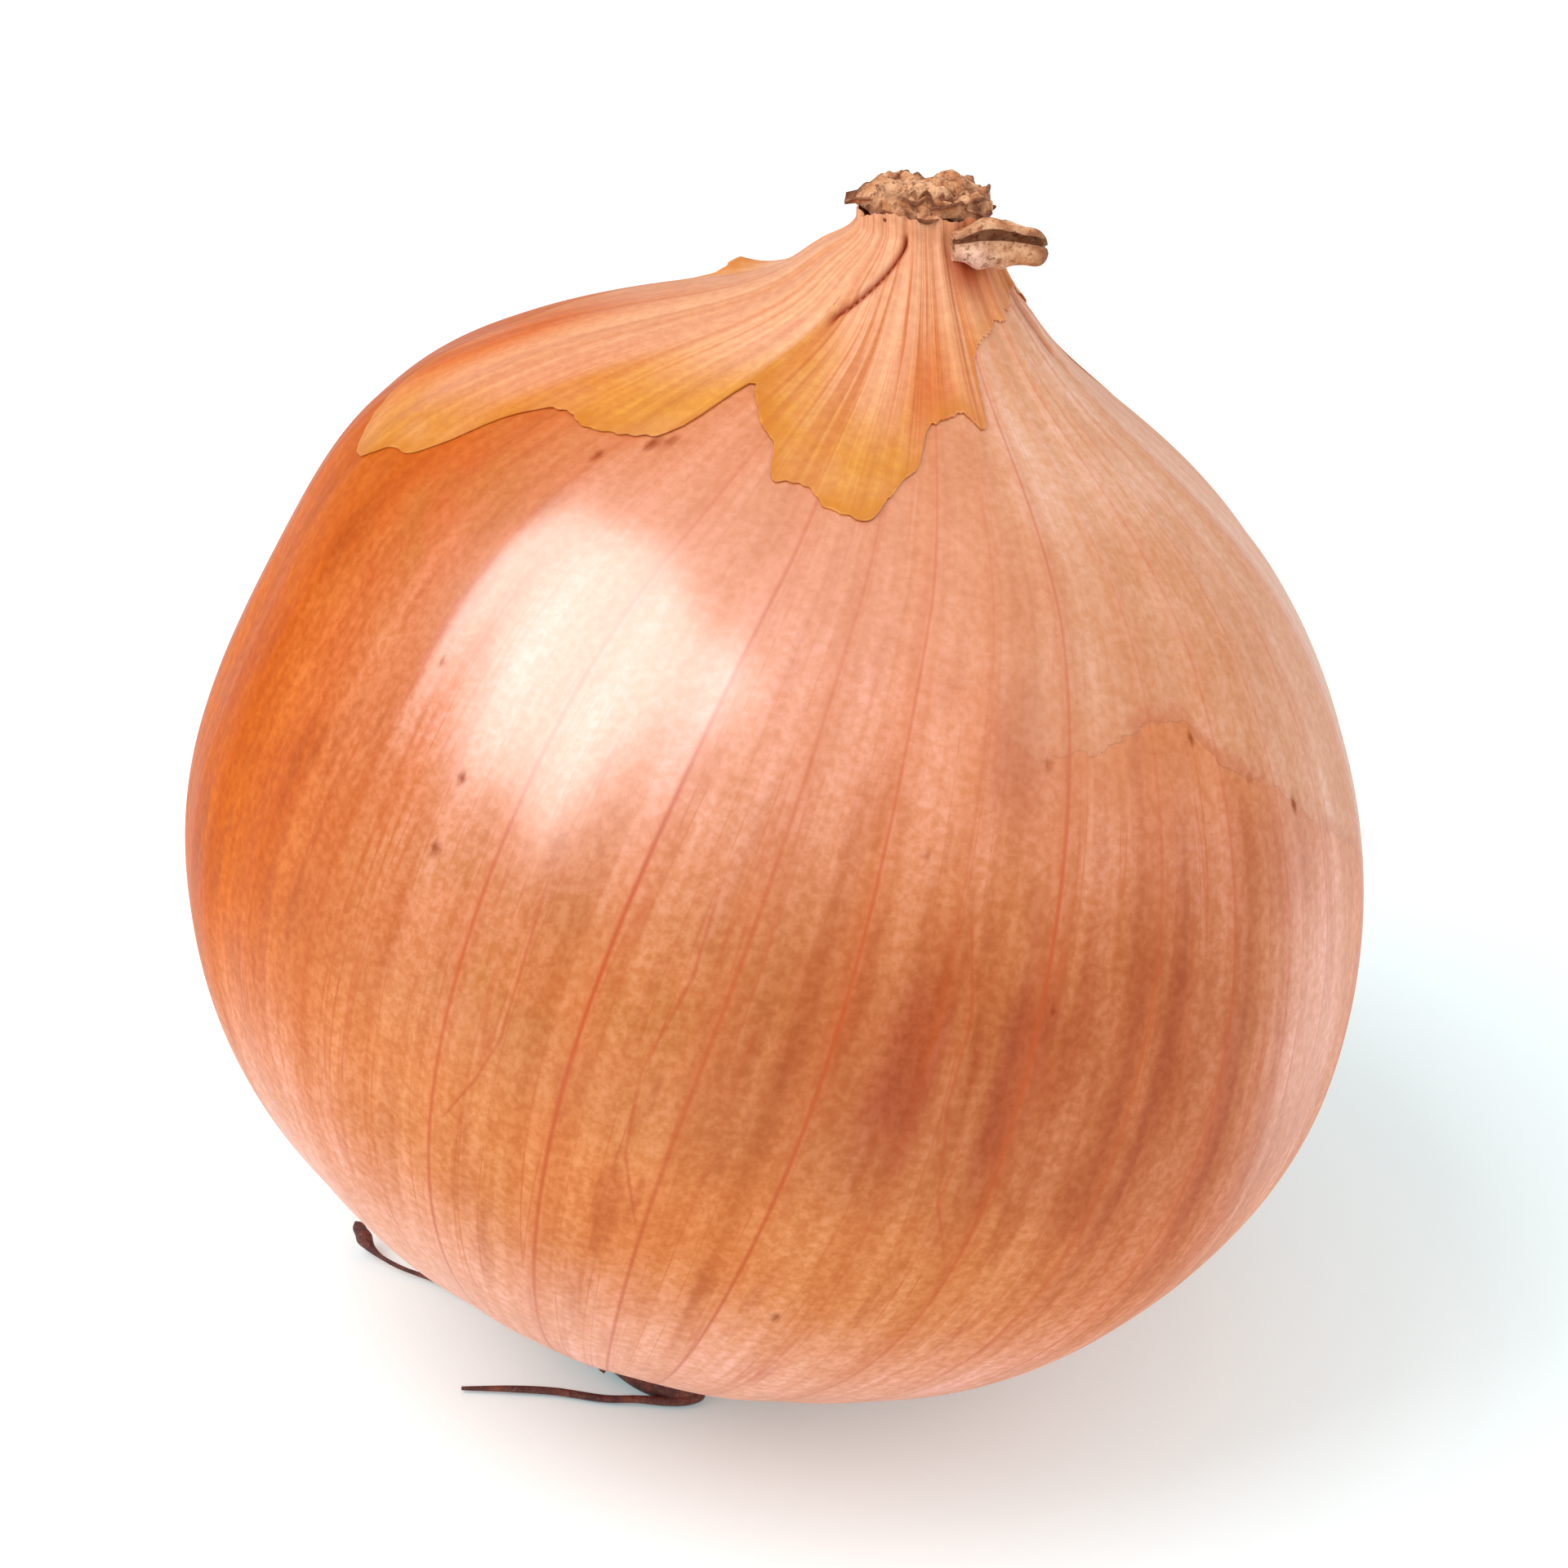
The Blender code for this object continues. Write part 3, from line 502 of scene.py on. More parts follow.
def make_piece(name, points, faces, material, node, corners=None, marks=None):
    """Puts points and faces into a mesh object that stands for one solid.

    corners are map positions, one for each face corner. marks are named values, one for each point:
    a plain number or three numbers.
    """
    mesh = bpy.data.meshes.new(name)
    mesh.from_pydata(points, [], faces)
    if corners is not None:
        spread = mesh.uv_layers.new(name="skin")
        spread.data.foreach_set("uv", np.asarray(corners, dtype=np.float32).ravel())
    for mark, values in (marks or {}).items():
        values = np.asarray(values, dtype=np.float32)
        kind = "FLOAT" if values.ndim == 1 else "FLOAT_VECTOR"
        layer = mesh.attributes.new(mark, kind, "POINT")
        layer.data.foreach_set("value" if kind == "FLOAT" else "vector", values.ravel())
    mesh.shade_smooth()
    mesh.set_sharp_from_angle(angle=SHARP_FROM)
    mesh.materials.append(material)
    piece = bpy.data.objects.new(name, mesh)
    bpy.context.scene.collection.objects.link(piece)
    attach(piece, "root")
    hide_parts(node)
    return piece


def tint(name):
    """A named colour as linear light."""
    value = np.array(TINTS[name]) / 255.0
    linear = np.where(value <= 0.04045, value / 12.92, ((value + 0.055) / 1.055) ** 2.4)
    return (*linear.tolist(), 1.0)


def feed(tree, socket, value):
    """Links a socket from another, or sets its own value."""
    if isinstance(value, bpy.types.NodeSocket):
        tree.links.new(value, socket)
    else:
        socket.default_value = value


def wire(tree, sockets, **values):
    """Feeds sockets by name; underscores in the names stand for spaces."""
    for label, value in values.items():
        feed(tree, sockets[label.replace("_", " ")], value)


def add_node(tree, kind, inputs, **settings):
    made = tree.nodes.new(kind)
    for name, value in settings.items():
        setattr(made, name, value)
    for key, value in inputs.items():
        feed(tree, made.inputs[key], value)
    return made


def number(tree, how, *values):
    return add_node(tree, "ShaderNodeMath", dict(enumerate(values)), operation=how).outputs[0]


def vector(tree, how, *values):
    return add_node(tree, "ShaderNodeVectorMath", dict(enumerate(values)), operation=how).outputs[0]


def span(tree, value, low, high, to_low=0.0, to_high=1.0):
    """Smooth step of value from low to high, carried to to_low and to_high."""
    keys = {"Value": value, "From Min": low, "From Max": high, "To Min": to_low, "To Max": to_high}
    return add_node(tree, "ShaderNodeMapRange", keys, interpolation_type="SMOOTHSTEP").outputs[0]


def mixed(tree, share, under, over, how="MIX"):
    made = add_node(tree, "ShaderNodeMix", {}, data_type="RGBA", blend_type=how)
    for key, value in ((0, share), (6, under), (7, over)):
        feed(tree, made.inputs[key], value)
    return made.outputs[2]


def noise(tree, place, scale, detail, roughness):
    keys = {"Vector": place, "Scale": scale, "Detail": detail, "Roughness": roughness}
    return add_node(tree, "ShaderNodeTexNoise", keys).outputs[0]


def product(tree, *values):
    total = values[0]
    for value in values[1:]:
        total = number(tree, "MULTIPLY", total, value)
    return total


def weighted(tree, *terms):
    """The sum of every term's value times its share."""
    total = 0.0
    for value, share in terms:
        total = number(tree, "MULTIPLY_ADD", value, share, total)
    return total


def painted(tree, colour, *layers):
    """A colour under layers, each given by its share and the name of its tint."""
    for share, name in layers:
        colour = mixed(tree, share, colour, tint(name))
    return colour


def dimmed(tree, colour, red, green, blue):
    """A colour times one factor for each channel."""
    level = add_node(tree, "ShaderNodeCombineColor", {0: red, 1: green, 2: blue}).outputs[0]
    return mixed(tree, 1.0, colour, level, "MULTIPLY")


def attribute(tree, name, output="Fac"):
    return add_node(tree, "ShaderNodeAttribute", {}, attribute_name=name).outputs[output]


def attributes(tree, *names):
    return {name: attribute(tree, name) for name in names}


def object_place(tree):
    return add_node(tree, "ShaderNodeTexCoord", {}).outputs["Object"]


def new_group(name, place, numbers, masks):
    """An empty node group: inputs are a place, if it is named, and numbers, and it puts out masks."""
    group = bpy.data.node_groups.new(name, "ShaderNodeTree")
    if place:
        group.interface.new_socket(place, in_out="INPUT", socket_type="NodeSocketVector")
    for label, value in numbers.items():
        socket = group.interface.new_socket(label, in_out="INPUT", socket_type="NodeSocketFloat")
        socket.default_value = value
    for label in masks:
        group.interface.new_socket(label, in_out="OUTPUT", socket_type="NodeSocketFloat")
    return group, group.nodes.new("NodeGroupInput").outputs, group.nodes.new("NodeGroupOutput").inputs


def use(tree, group, **values):
    """Places a group in a tree."""
    made = tree.nodes.new("ShaderNodeGroup")
    made.node_tree = group
    wire(tree, made.inputs, **values)
    return made.outputs


def streaks_group():
    """Long thin streaks: noise whose third axis, along the fibres, is squeezed by Stretch.

    Streak is the noise itself. Line is 1 where the noise crosses its middle value, which draws thin
    lines that part and meet.
    """
    group, given, made = new_group(
        "fibre_streaks", "Fibre", {"Count": 300.0, "Stretch": 0.05, "Line Width": 0.02, "Shift": 0.0},
        ("Streak", "Line"))
    squeeze = add_node(group, "ShaderNodeCombineXYZ", {0: 1.0, 1: 1.0, 2: given["Stretch"]})
    moved = add_node(group, "ShaderNodeCombineXYZ", {0: given["Shift"], 1: 0.0, 2: given["Shift"]})
    place = vector(group, "MULTIPLY", given["Fibre"], squeeze.outputs[0])
    place = vector(group, "ADD", place, moved.outputs[0])
    streak = noise(group, place, given["Count"], 2.0, 0.55)
    away = number(group, "ABSOLUTE", number(group, "SUBTRACT", streak, 0.5))
    feed(group, made["Streak"], streak)
    feed(group, made["Line"], span(group, away, given["Line Width"], 0.0))
    return group


def veins_group():
    """Main veins at every whole number of Lane.

    The gap to the nearest one is half minus the distance of Lane's fraction from a half, times the
    lane's width in millimetres. Line is 1 within Width of a vein, and Crest falls off ten times
    slower.
    """
    group, given, made = new_group(
        "main_veins", None, {"Lane": 0.0, "Lane Width": 7.0, "Force": 1.0, "Width": 0.2},
        ("Line", "Crest"))
    part = number(group, "FRACT", given["Lane"])
    gap = number(group, "SUBTRACT", 0.5, number(group, "ABSOLUTE", number(group, "SUBTRACT", part, 0.5)))
    gap = number(group, "MULTIPLY", gap, given["Lane Width"])
    line = span(group, gap, given["Width"], 0.0)
    crest = span(group, gap, number(group, "MULTIPLY", given["Width"], 8.0), 0.0)
    feed(group, made["Line"], number(group, "MULTIPLY", line, given["Force"]))
    feed(group, made["Crest"], number(group, "MULTIPLY", crest, given["Force"]))
    return group


def grain_group():
    """Papery grain: fine cells over soft blotches, in object coordinates."""
    group, given, made = new_group(
        "papery_grain", "Place", {"Cells": 1600.0, "Blotches": 180.0}, ("Cell", "Blotch"))
    feed(group, made["Cell"], noise(group, given["Place"], given["Cells"], 3.0, 0.6))
    feed(group, made["Blotch"], noise(group, given["Place"], given["Blotches"], 3.0, 0.55))
    return group


def edge_group():
    """The rim of a torn layer: Cover is 1 inside it, Rim is 1 in a band just inside its edge.

    Gap is the distance inside the edge in millimetres, and noise of the place roughens it.
    """
    group, given, made = new_group(
        "torn_rim", "Place", {"Gap": 1.0, "Rough": 0.6, "Width": 0.5}, ("Cover", "Rim"))
    rough = number(group, "SUBTRACT", noise(group, given["Place"], 900.0, 3.0, 0.6), 0.5)
    gap = number(group, "MULTIPLY_ADD", rough, given["Rough"], given["Gap"])
    cover = span(group, gap, 0.0, 0.12)
    feed(group, made["Cover"], cover)
    rim = span(group, gap, given["Width"], 0.05)
    feed(group, made["Rim"], number(group, "MULTIPLY", rim, cover))
    return group


STREAKS = streaks_group()
MAIN_VEINS = veins_group()
GRAIN = grain_group()
TORN_RIM = edge_group()


def new_material(name, roughness, coat, coat_roughness):
    """A material with its Principled shader; plain numbers sit on the shader's own sockets."""
    material = bpy.data.materials.new(name)
    material.use_nodes = True
    tree = material.node_tree
    shader = tree.nodes["Principled BSDF"]
    wire(tree, shader.inputs, Roughness=roughness, Coat_Weight=coat, Coat_Roughness=coat_roughness)
    return material, tree, shader


def bump(tree, shader, height, distance):
    made = add_node(tree, "ShaderNodeBump", {"Height": height, "Strength": 1.0, "Distance": distance})
    tree.links.new(made.outputs[0], shader.inputs["Normal"])


def skin_material():
    """Tight papery skin: warm zones, stripes, fine fibres, main veins, a pale torn layer, specks, painted
    shade and light.
    """
    material, tree, shader = new_material("tight_brown_skin", 0.4, 0.8, 0.24)
    wire(tree, shader.inputs, Specular_IOR_Level=0.03, Coat_IOR=2.2)
    place = object_place(tree)
    fibre = attribute(tree, "fibre", "Vector")
    drawn = attributes(tree, "orange", "pink_and_sheen", "olive", "ruddy", "dashes", "pale", "upper", "lift",
                       "line_share", "crease", "gloss", "spot_gap")
    lanes = add_node(tree, "ShaderNodeUVMap", {}, uv_map="skin").outputs[0]
    lane = add_node(tree, "ShaderNodeSeparateXYZ", {0: lanes}).outputs[0]
    grain = use(tree, GRAIN, Place=place)
    blotch = grain["Blotch"]
    fine = use(tree, STREAKS, Fibre=fibre, Count=900.0, Stretch=0.035, Line_Width=0.014)
    middle = use(tree, STREAKS, Fibre=fibre, Count=330.0, Stretch=0.03, Line_Width=0.016, Shift=3.0)
    broad = use(tree, STREAKS, Fibre=fibre, Count=290.0, Stretch=0.06, Shift=7.0)
    dash = use(tree, STREAKS, Fibre=fibre, Count=460.0, Stretch=0.2, Shift=11.0)
    vein = use(tree, MAIN_VEINS, Lane=lane, Lane_Width=attribute(tree, "lane_width"),
               Force=attribute(tree, "vein_force"), Width=attribute(tree, "vein_width"))
    pale = use(tree, TORN_RIM, Gap=attribute(tree, "pale_gap"), Place=place, Rough=1.5, Width=1.5)

    # warm zones, of which the pink is partly painted light, and the pale layer that covers the right
    # shoulder
    stripe = span(tree, broad["Streak"], 0.40, 0.62, 0.55, 1.0)
    colour = painted(
        tree, tint("tan"), (drawn["orange"], "orange"), (drawn["pink_and_sheen"], "pink_and_sheen"),
        (product(tree, drawn["olive"], span(tree, blotch, 0.34, 0.68), 0.8), "olive"),
        (product(tree, drawn["ruddy"], stripe), "ruddy"),
        (product(tree, drawn["dashes"], span(tree, dash["Streak"], 0.53, 0.67)), "dash"))
    cover = product(tree, pale["Cover"], drawn["pale"])
    veil = mixed(tree, drawn["upper"], tint("low veil"), tint("high veil"))
    colour = mixed(tree, product(tree, cover, span(tree, blotch, 0.25, 0.7, 0.6, 0.9)), colour, veil)
    rim = product(tree, pale["Rim"], drawn["pale"], span(tree, blotch, 0.42, 0.58, 0.08, 0.62))
    colour = painted(tree, colour, (rim, "veil rim"))

    # fine mottling, deeper in green and blue than in red
    shade = product(
        tree, span(tree, middle["Streak"], 0.3, 0.7, 0.93, 1.06),
        span(tree, fine["Streak"], 0.3, 0.7, 0.95, 1.05),
        span(tree, grain["Cell"], 0.3, 0.7, 0.90, 1.09), span(tree, blotch, 0.3, 0.7, 0.94, 1.05))
    contrast = number(tree, "MULTIPLY_ADD", drawn["line_share"], 0.6, 0.35)
    shade = number(tree, "POWER", shade, contrast)
    green, blue = (number(tree, "POWER", shade, power) for power in (2.1, 4.2))
    colour = dimmed(tree, colour, shade, green, blue)
    # lift is painted light where it lightens the skin towards the root end; its 0.93 takes a little red
    # out everywhere
    lift = drawn["lift"]
    colour = dimmed(tree, colour, product(tree, lift, 0.93), lift, lift)

    lines = product(tree, middle["Line"], span(tree, blotch, 0.35, 0.65, 0.1, 0.5), drawn["line_share"])
    branch = branch_lines(tree)
    broken = product(tree, span(tree, middle["Streak"], 0.3, 0.6, 0.45, 0.95),
                     number(tree, "MULTIPLY_ADD", drawn["line_share"], 0.65, 0.35))
    specks = span(tree, drawn["spot_gap"], 0.2, -0.3)
    # the crease colour is painted shade in the deep folds
    colour = painted(
        tree, colour, (lines, "fibre"),
        (product(tree, number(tree, "MAXIMUM", vein["Line"], branch), broken), "vein"),
        (product(tree, vein["Crest"], 0.18), "vein halo"), (drawn["crease"], "crease"),
        (product(tree, specks, 0.9), "speck"))
    wire(tree, shader.inputs, Base_Color=colour, Roughness=span(tree, blotch, 0.3, 0.7, 0.36, 0.46),
         Coat_Weight=product(tree, number(tree, "MULTIPLY_ADD", specks, -0.9, 1.0), drawn["gloss"]))
    height = weighted(
        tree, (vein["Crest"], 0.5), (branch, 0.25), (middle["Streak"], 0.9), (fine["Streak"], 0.22),
        (grain["Cell"], 0.10), (cover, 0.35))
    bump(tree, shader, height, 0.00018)
    return material


def branch_lines(tree):
    """Thin lines where one of three signed gaps, in millimetres, crosses zero."""
    gaps = add_node(tree, "ShaderNodeSeparateXYZ", {0: attribute(tree, "branch_gap", "Vector")})
    shares = add_node(tree, "ShaderNodeSeparateXYZ", {0: attribute(tree, "branch_share", "Vector")})
    return weighted(tree, *(
        (span(tree, number(tree, "ABSOLUTE", gap), 0.22, 0.0), share)
        for gap, share in zip(gaps.outputs, shares.outputs)))


def torn_material():
    """Golden torn skin: peach near the neck, golden towards its rim, which is darker."""
    material, tree, shader = new_material("golden_torn_skin", 0.45, 0.3, 0.28)
    wire(tree, shader.inputs, Specular_IOR_Level=0.08)
    place = object_place(tree)
    fibre = attribute(tree, "fibre", "Vector")
    drawn = attributes(tree, "golden", "orange", "streaky", "crease", "gloss", "rim_gap")
    grain = use(tree, GRAIN, Place=place)
    blotch = grain["Blotch"]
    fine = use(tree, STREAKS, Fibre=fibre, Count=900.0, Stretch=0.035, Line_Width=0.03)
    middle = use(tree, STREAKS, Fibre=fibre, Count=330.0, Stretch=0.04, Line_Width=0.02, Shift=3.0)
    broad = use(tree, STREAKS, Fibre=fibre, Count=420.0, Stretch=0.09, Shift=5.0)
    rim = use(tree, TORN_RIM, Gap=drawn["rim_gap"], Place=place, Rough=0.5, Width=1.5)
    colour = painted(
        tree, tint("peach"),
        (product(tree, span(tree, blotch, 0.3, 0.6, 0.7, 1.0), drawn["golden"]), "gold"),
        (drawn["orange"], "copper"),
        (product(tree, span(tree, broad["Streak"], 0.50, 0.62), drawn["streaky"]), "brown streak"))
    shade = product(
        tree, span(tree, middle["Streak"], 0.3, 0.7, 0.94, 1.05),
        span(tree, fine["Streak"], 0.3, 0.7, 0.95, 1.04),
        span(tree, grain["Cell"], 0.3, 0.7, 0.95, 1.05))
    warm = number(tree, "POWER", shade, 2.0)
    colour = dimmed(tree, colour, product(tree, shade, 0.94), warm, warm)
    # lines and the rim are the skin's own; the crease colour is painted shade in the folds and under the
    # side curl
    colour = painted(
        tree, colour, (product(tree, fine["Line"], drawn["streaky"], 0.6), "torn line"),
        (product(tree, rim["Rim"], span(tree, blotch, 0.35, 0.6, 0.3, 0.8)), "torn rim"),
        (drawn["crease"], "torn crease shade"))
    wire(tree, shader.inputs, Base_Color=colour, Roughness=span(tree, blotch, 0.3, 0.7, 0.4, 0.52),
         Coat_Weight=drawn["gloss"])
    height = weighted(tree, (middle["Streak"], 0.9), (fine["Streak"], 0.35), (grain["Cell"], 0.10))
    bump(tree, shader, height, 0.00015)
    return material


def leaf_end_material():
    """Dry leaf ends: layered tan, pitted, dark brown along the torn edges, with painted shade in the
    hollows.
    """
    material, tree, shader = new_material("dry_leaf_ends", 0.8, 0.0, 0.3)
    place = object_place(tree)
    drawn = attributes(tree, "pale", "edge")
    grain = use(tree, GRAIN, Place=place, Cells=2600.0, Blotches=700.0)
    blotch = grain["Blotch"]
    fine = use(tree, STREAKS, Fibre=place, Count=1400.0, Stretch=0.5, Line_Width=0.05)
    # the dark edge colour is partly painted shade: in the clefts, under the cushion and in the curl's
    # slit
    colour = painted(
        tree, tint("leaf"), (span(tree, blotch, 0.35, 0.65), "dull leaf"), (drawn["pale"], "fresh leaf"),
        (span(tree, grain["Cell"], 0.50, 0.68, 0.0, 0.8), "leaf pit"),
        (product(tree, drawn["edge"], span(tree, blotch, 0.3, 0.6, 0.4, 0.95)), "leaf edge and shade"),
        (product(tree, fine["Line"], 0.25), "leaf line"))
    wire(tree, shader.inputs, Base_Color=colour)
    height = weighted(tree, (blotch, 1.0), (grain["Cell"], 0.5), (fine["Streak"], 0.6))
    bump(tree, shader, height, 0.0004)
    return material


def root_material():
    """Dried roots: dark red-brown, wrinkled along their length, paler where they are bruised."""
    material, tree, shader = new_material("dried_roots", 0.62, 0.1, 0.4)
    place = object_place(tree)
    grain = use(tree, GRAIN, Place=place, Cells=3000.0, Blotches=900.0)
    fine = use(tree, STREAKS, Fibre=place, Count=2200.0, Stretch=0.6, Line_Width=0.05)
    colour = painted(
        tree, tint("root"), (span(tree, grain["Blotch"], 0.35, 0.7), "worn root"),
        (span(tree, grain["Cell"], 0.55, 0.75, 0.0, 0.5), "bruised root"),
        (product(tree, fine["Line"], 0.4), "root line"))
    wire(tree, shader.inputs, Base_Color=colour)
    bump(tree, shader, weighted(tree, (grain["Cell"], 1.0), (fine["Streak"], 0.7)), 0.0002)
    return material


# ---- The bulb's skin ----

def meridian():
    """Radius and height of each ring of the skin, from the middle of the neck to the root end."""
    crown = NECK_RADIUS * np.array([0.1, 0.4, 0.7, 0.88, 0.95, 0.985])
    sunk = NECK_TOP - np.array([0.0014, 0.0014, 0.0013, 0.0010, 0.0003, 0.0001])
    side = np.linspace(NECK_TOP - 0.0003, upper_height(NECK_RADIUS), 9)[:-1]
    turn = np.linspace(0.0, math.pi / 2, 112)
    shoulder = NECK_RADIUS + (BULB_RADIUS - NECK_RADIUS) * np.sin(turn) ** 1.3
    below = BULB_RADIUS * np.cos(np.linspace(0.0, math.acos(0.012), 102))[1:]
    radius = np.concatenate([crown, np.full(len(side), NECK_RADIUS), shoulder, below])
    height = np.concatenate([sunk, side, upper_height(shoulder), lower_height(below)])
    return radius[:, None], height[:, None]


def along_skin(radius, height):
    """Distance along the meridian from the top, by summing the steps between rings."""
    steps = np.hypot(np.diff(radius[:, 0]), np.diff(height[:, 0]))
    return np.concatenate([[0.0], np.cumsum(steps)])[:, None]


def make_bulb_skin():
    """The tight skin: rings of the meridian round the axis, closed by a fan of triangles at each end.

    Across its map every vein lies on a whole number. Down the map runs the distance from the top.
    """
    radius, height = meridian()
    rows = len(radius)
    every = veins()
    start = every[0][0]
    lane_ends = np.array([a for a, force in every] + [start + 2.0 * math.pi])
    azimuth = start + np.linspace(0.0, 2.0 * math.pi, COLUMNS + 1)
    lane = np.interp(azimuth, lane_ends, np.arange(len(lane_ends)))
    azimuth = azimuth[:-1][None, :]
    points = laid_over(skin(azimuth, radius, height)).reshape(-1, 3)
    points[:, 2] = np.maximum(points[:, 2], 0.0)
    poles = laid_over(np.array([[-NECK_SHIFT, 0.0, height[0, 0]], [0.0, 0.0, lower_height(0.0)]]))
    first = np.arange(COLUMNS)
    last = first + (rows - 1) * COLUMNS
    top = np.stack([np.roll(first, -1), np.full(COLUMNS, len(points)), first], axis=-1)
    bottom = np.stack([last, np.full(COLUMNS, len(points) + 1), np.roll(last, -1)], axis=-1)
    faces = grid_faces(rows, COLUMNS, True).tolist() + top.tolist() + bottom.tolist()
    along = along_skin(radius, height)
    fan = np.stack([lane[1:], 0.5 * (lane[1:] + lane[:-1]), lane[:-1]], axis=-1)
    corners = [grid_corners(rows, lane, along[:, 0])]
    for across, down in ((fan, along[0, 0]), (fan[:, ::-1], along[-1, 0])):
        corners.append(np.stack([across, np.full(fan.shape, down)], axis=-1).reshape(-1, 2))

    # a glossier strip whose left edge is sharp and follows the fibres; it is also painted lighter, a
    # painted highlight
    past = np.degrees(angle_between(azimuth, math.radians(-43.4)))
    sheen_strip = smooth_step(past / 1.2) * np.exp(-np.clip(past, 0, None) / 7.0)
    sheen_strip = sheen_strip * smooth_step((height / MM - 8) / 7) * smooth_step((33 - height / MM) / 7)
    depth = -height / MM
    totals = {name: patches(azimuth, height, table) for name, table in SKIN_PATCHES.items()}
    totals["pale"] -= 0.12
    # painted light: the pink grows towards the root end, as if lit from the floor below, and along the
    # strip, as a painted highlight
    totals["pink_and_sheen"] += 0.9 * smooth_step((depth - 12) / 16) + 0.6 * sheen_strip
    totals["gloss"] += 0.10 + 0.5 * sheen_strip + 0.35 * smooth_step((depth - 14) / 12)
    marks = {name: np.clip(total, 0.0, 1.0) for name, total in totals.items()}
    marks["gloss"] *= 1.0 - 0.75 * patch(azimuth, height, *STRIP_SHADE)
    marks["dashes"] = 0.12 + 0.5 * marks["dashes"]
    # a brightness factor: a little darker on the left shoulder and at one spot right of the front, and
    # lighter towards the root end, which is painted light from below
    marks["lift"] = (
        1.0 - 0.12 * patch(azimuth, height, *LEFT_SHOULDER) - 0.06 * patch(azimuth, height, 50, 12, 9, 8)
        + 0.08 * smooth_step((depth - 3) / 6) * (1.0 + 0.8 * patch(azimuth, height, 4, 16, -12, 8)))
    gaps, shares = branch_gap(azimuth, radius, height)
    force = np.array([f for a, f in every])[np.round(lane[:-1]).astype(int) % len(every)]
    marks.update({
        "fibre": at_azimuth(0.04, azimuth, along),
        "lane_width": 2.0 * math.pi * radius / MM / len(every),
        "vein_force": force,
        "vein_width": 0.12 + 0.17 * radius / BULB_RADIUS,
        "pale_gap": height / MM - np.interp(np.degrees(angle_between(azimuth, 0.0)), *zip(*PALE_EDGE)),
        "upper": smooth_step((height / MM - 28) / 12),
        "branch_gap": gaps,
        "branch_share": shares,
        "line_share": 0.4 + 0.6 * smooth_step((30 - height / MM) / 20),
        # painted shade along the two deep folds
        "crease": creases(azimuth, radius, height),
        "spot_gap": spot_gap(azimuth, radius, height),
    })
    # each end's middle point takes the marks of the ring's first or last point
    marks = {name: np.concatenate([flat, flat[:1], flat[-1:]])
             for name, flat in for_each_point(marks, rows, COLUMNS).items()}
    return make_piece("bulb_skin", np.concatenate([points, poles]), faces, skin_material(),
                      "bulb", np.concatenate(corners), marks)


def branch_gap(azimuth, radius, height):
    """Signed distance in millimetres from each side branch, and how strongly it shows at that height."""
    gaps, shares = [], []
    for route in BRANCHES:
        degrees, level = np.array(sorted(route, key=lambda knot: knot[1])).T
        middle = np.radians(np.interp(height / MM, level, degrees))
        gaps.append(angle_between(azimuth, middle) * radius / MM)
        inside = np.minimum(height / MM - level[0], level[-1] - height / MM)
        shares.append(0.55 * smooth_step(inside / 2.0) * np.ones_like(azimuth))
    return np.stack(gaps, axis=-1), np.stack(shares, axis=-1)


def spot_gap(azimuth, radius, height):
    """Distance in millimetres outside the nearest dark speck's rim."""
    gap = np.full(np.broadcast_shapes(azimuth.shape, height.shape), 9.0)
    for middle, level, size in SPECKS:
        across = angle_between(azimuth, math.radians(middle)) * radius / MM
        gap = np.minimum(gap, np.hypot(across, 0.7 * (height / MM - level)) - size)
    return gap


# ---- The torn golden skin ----

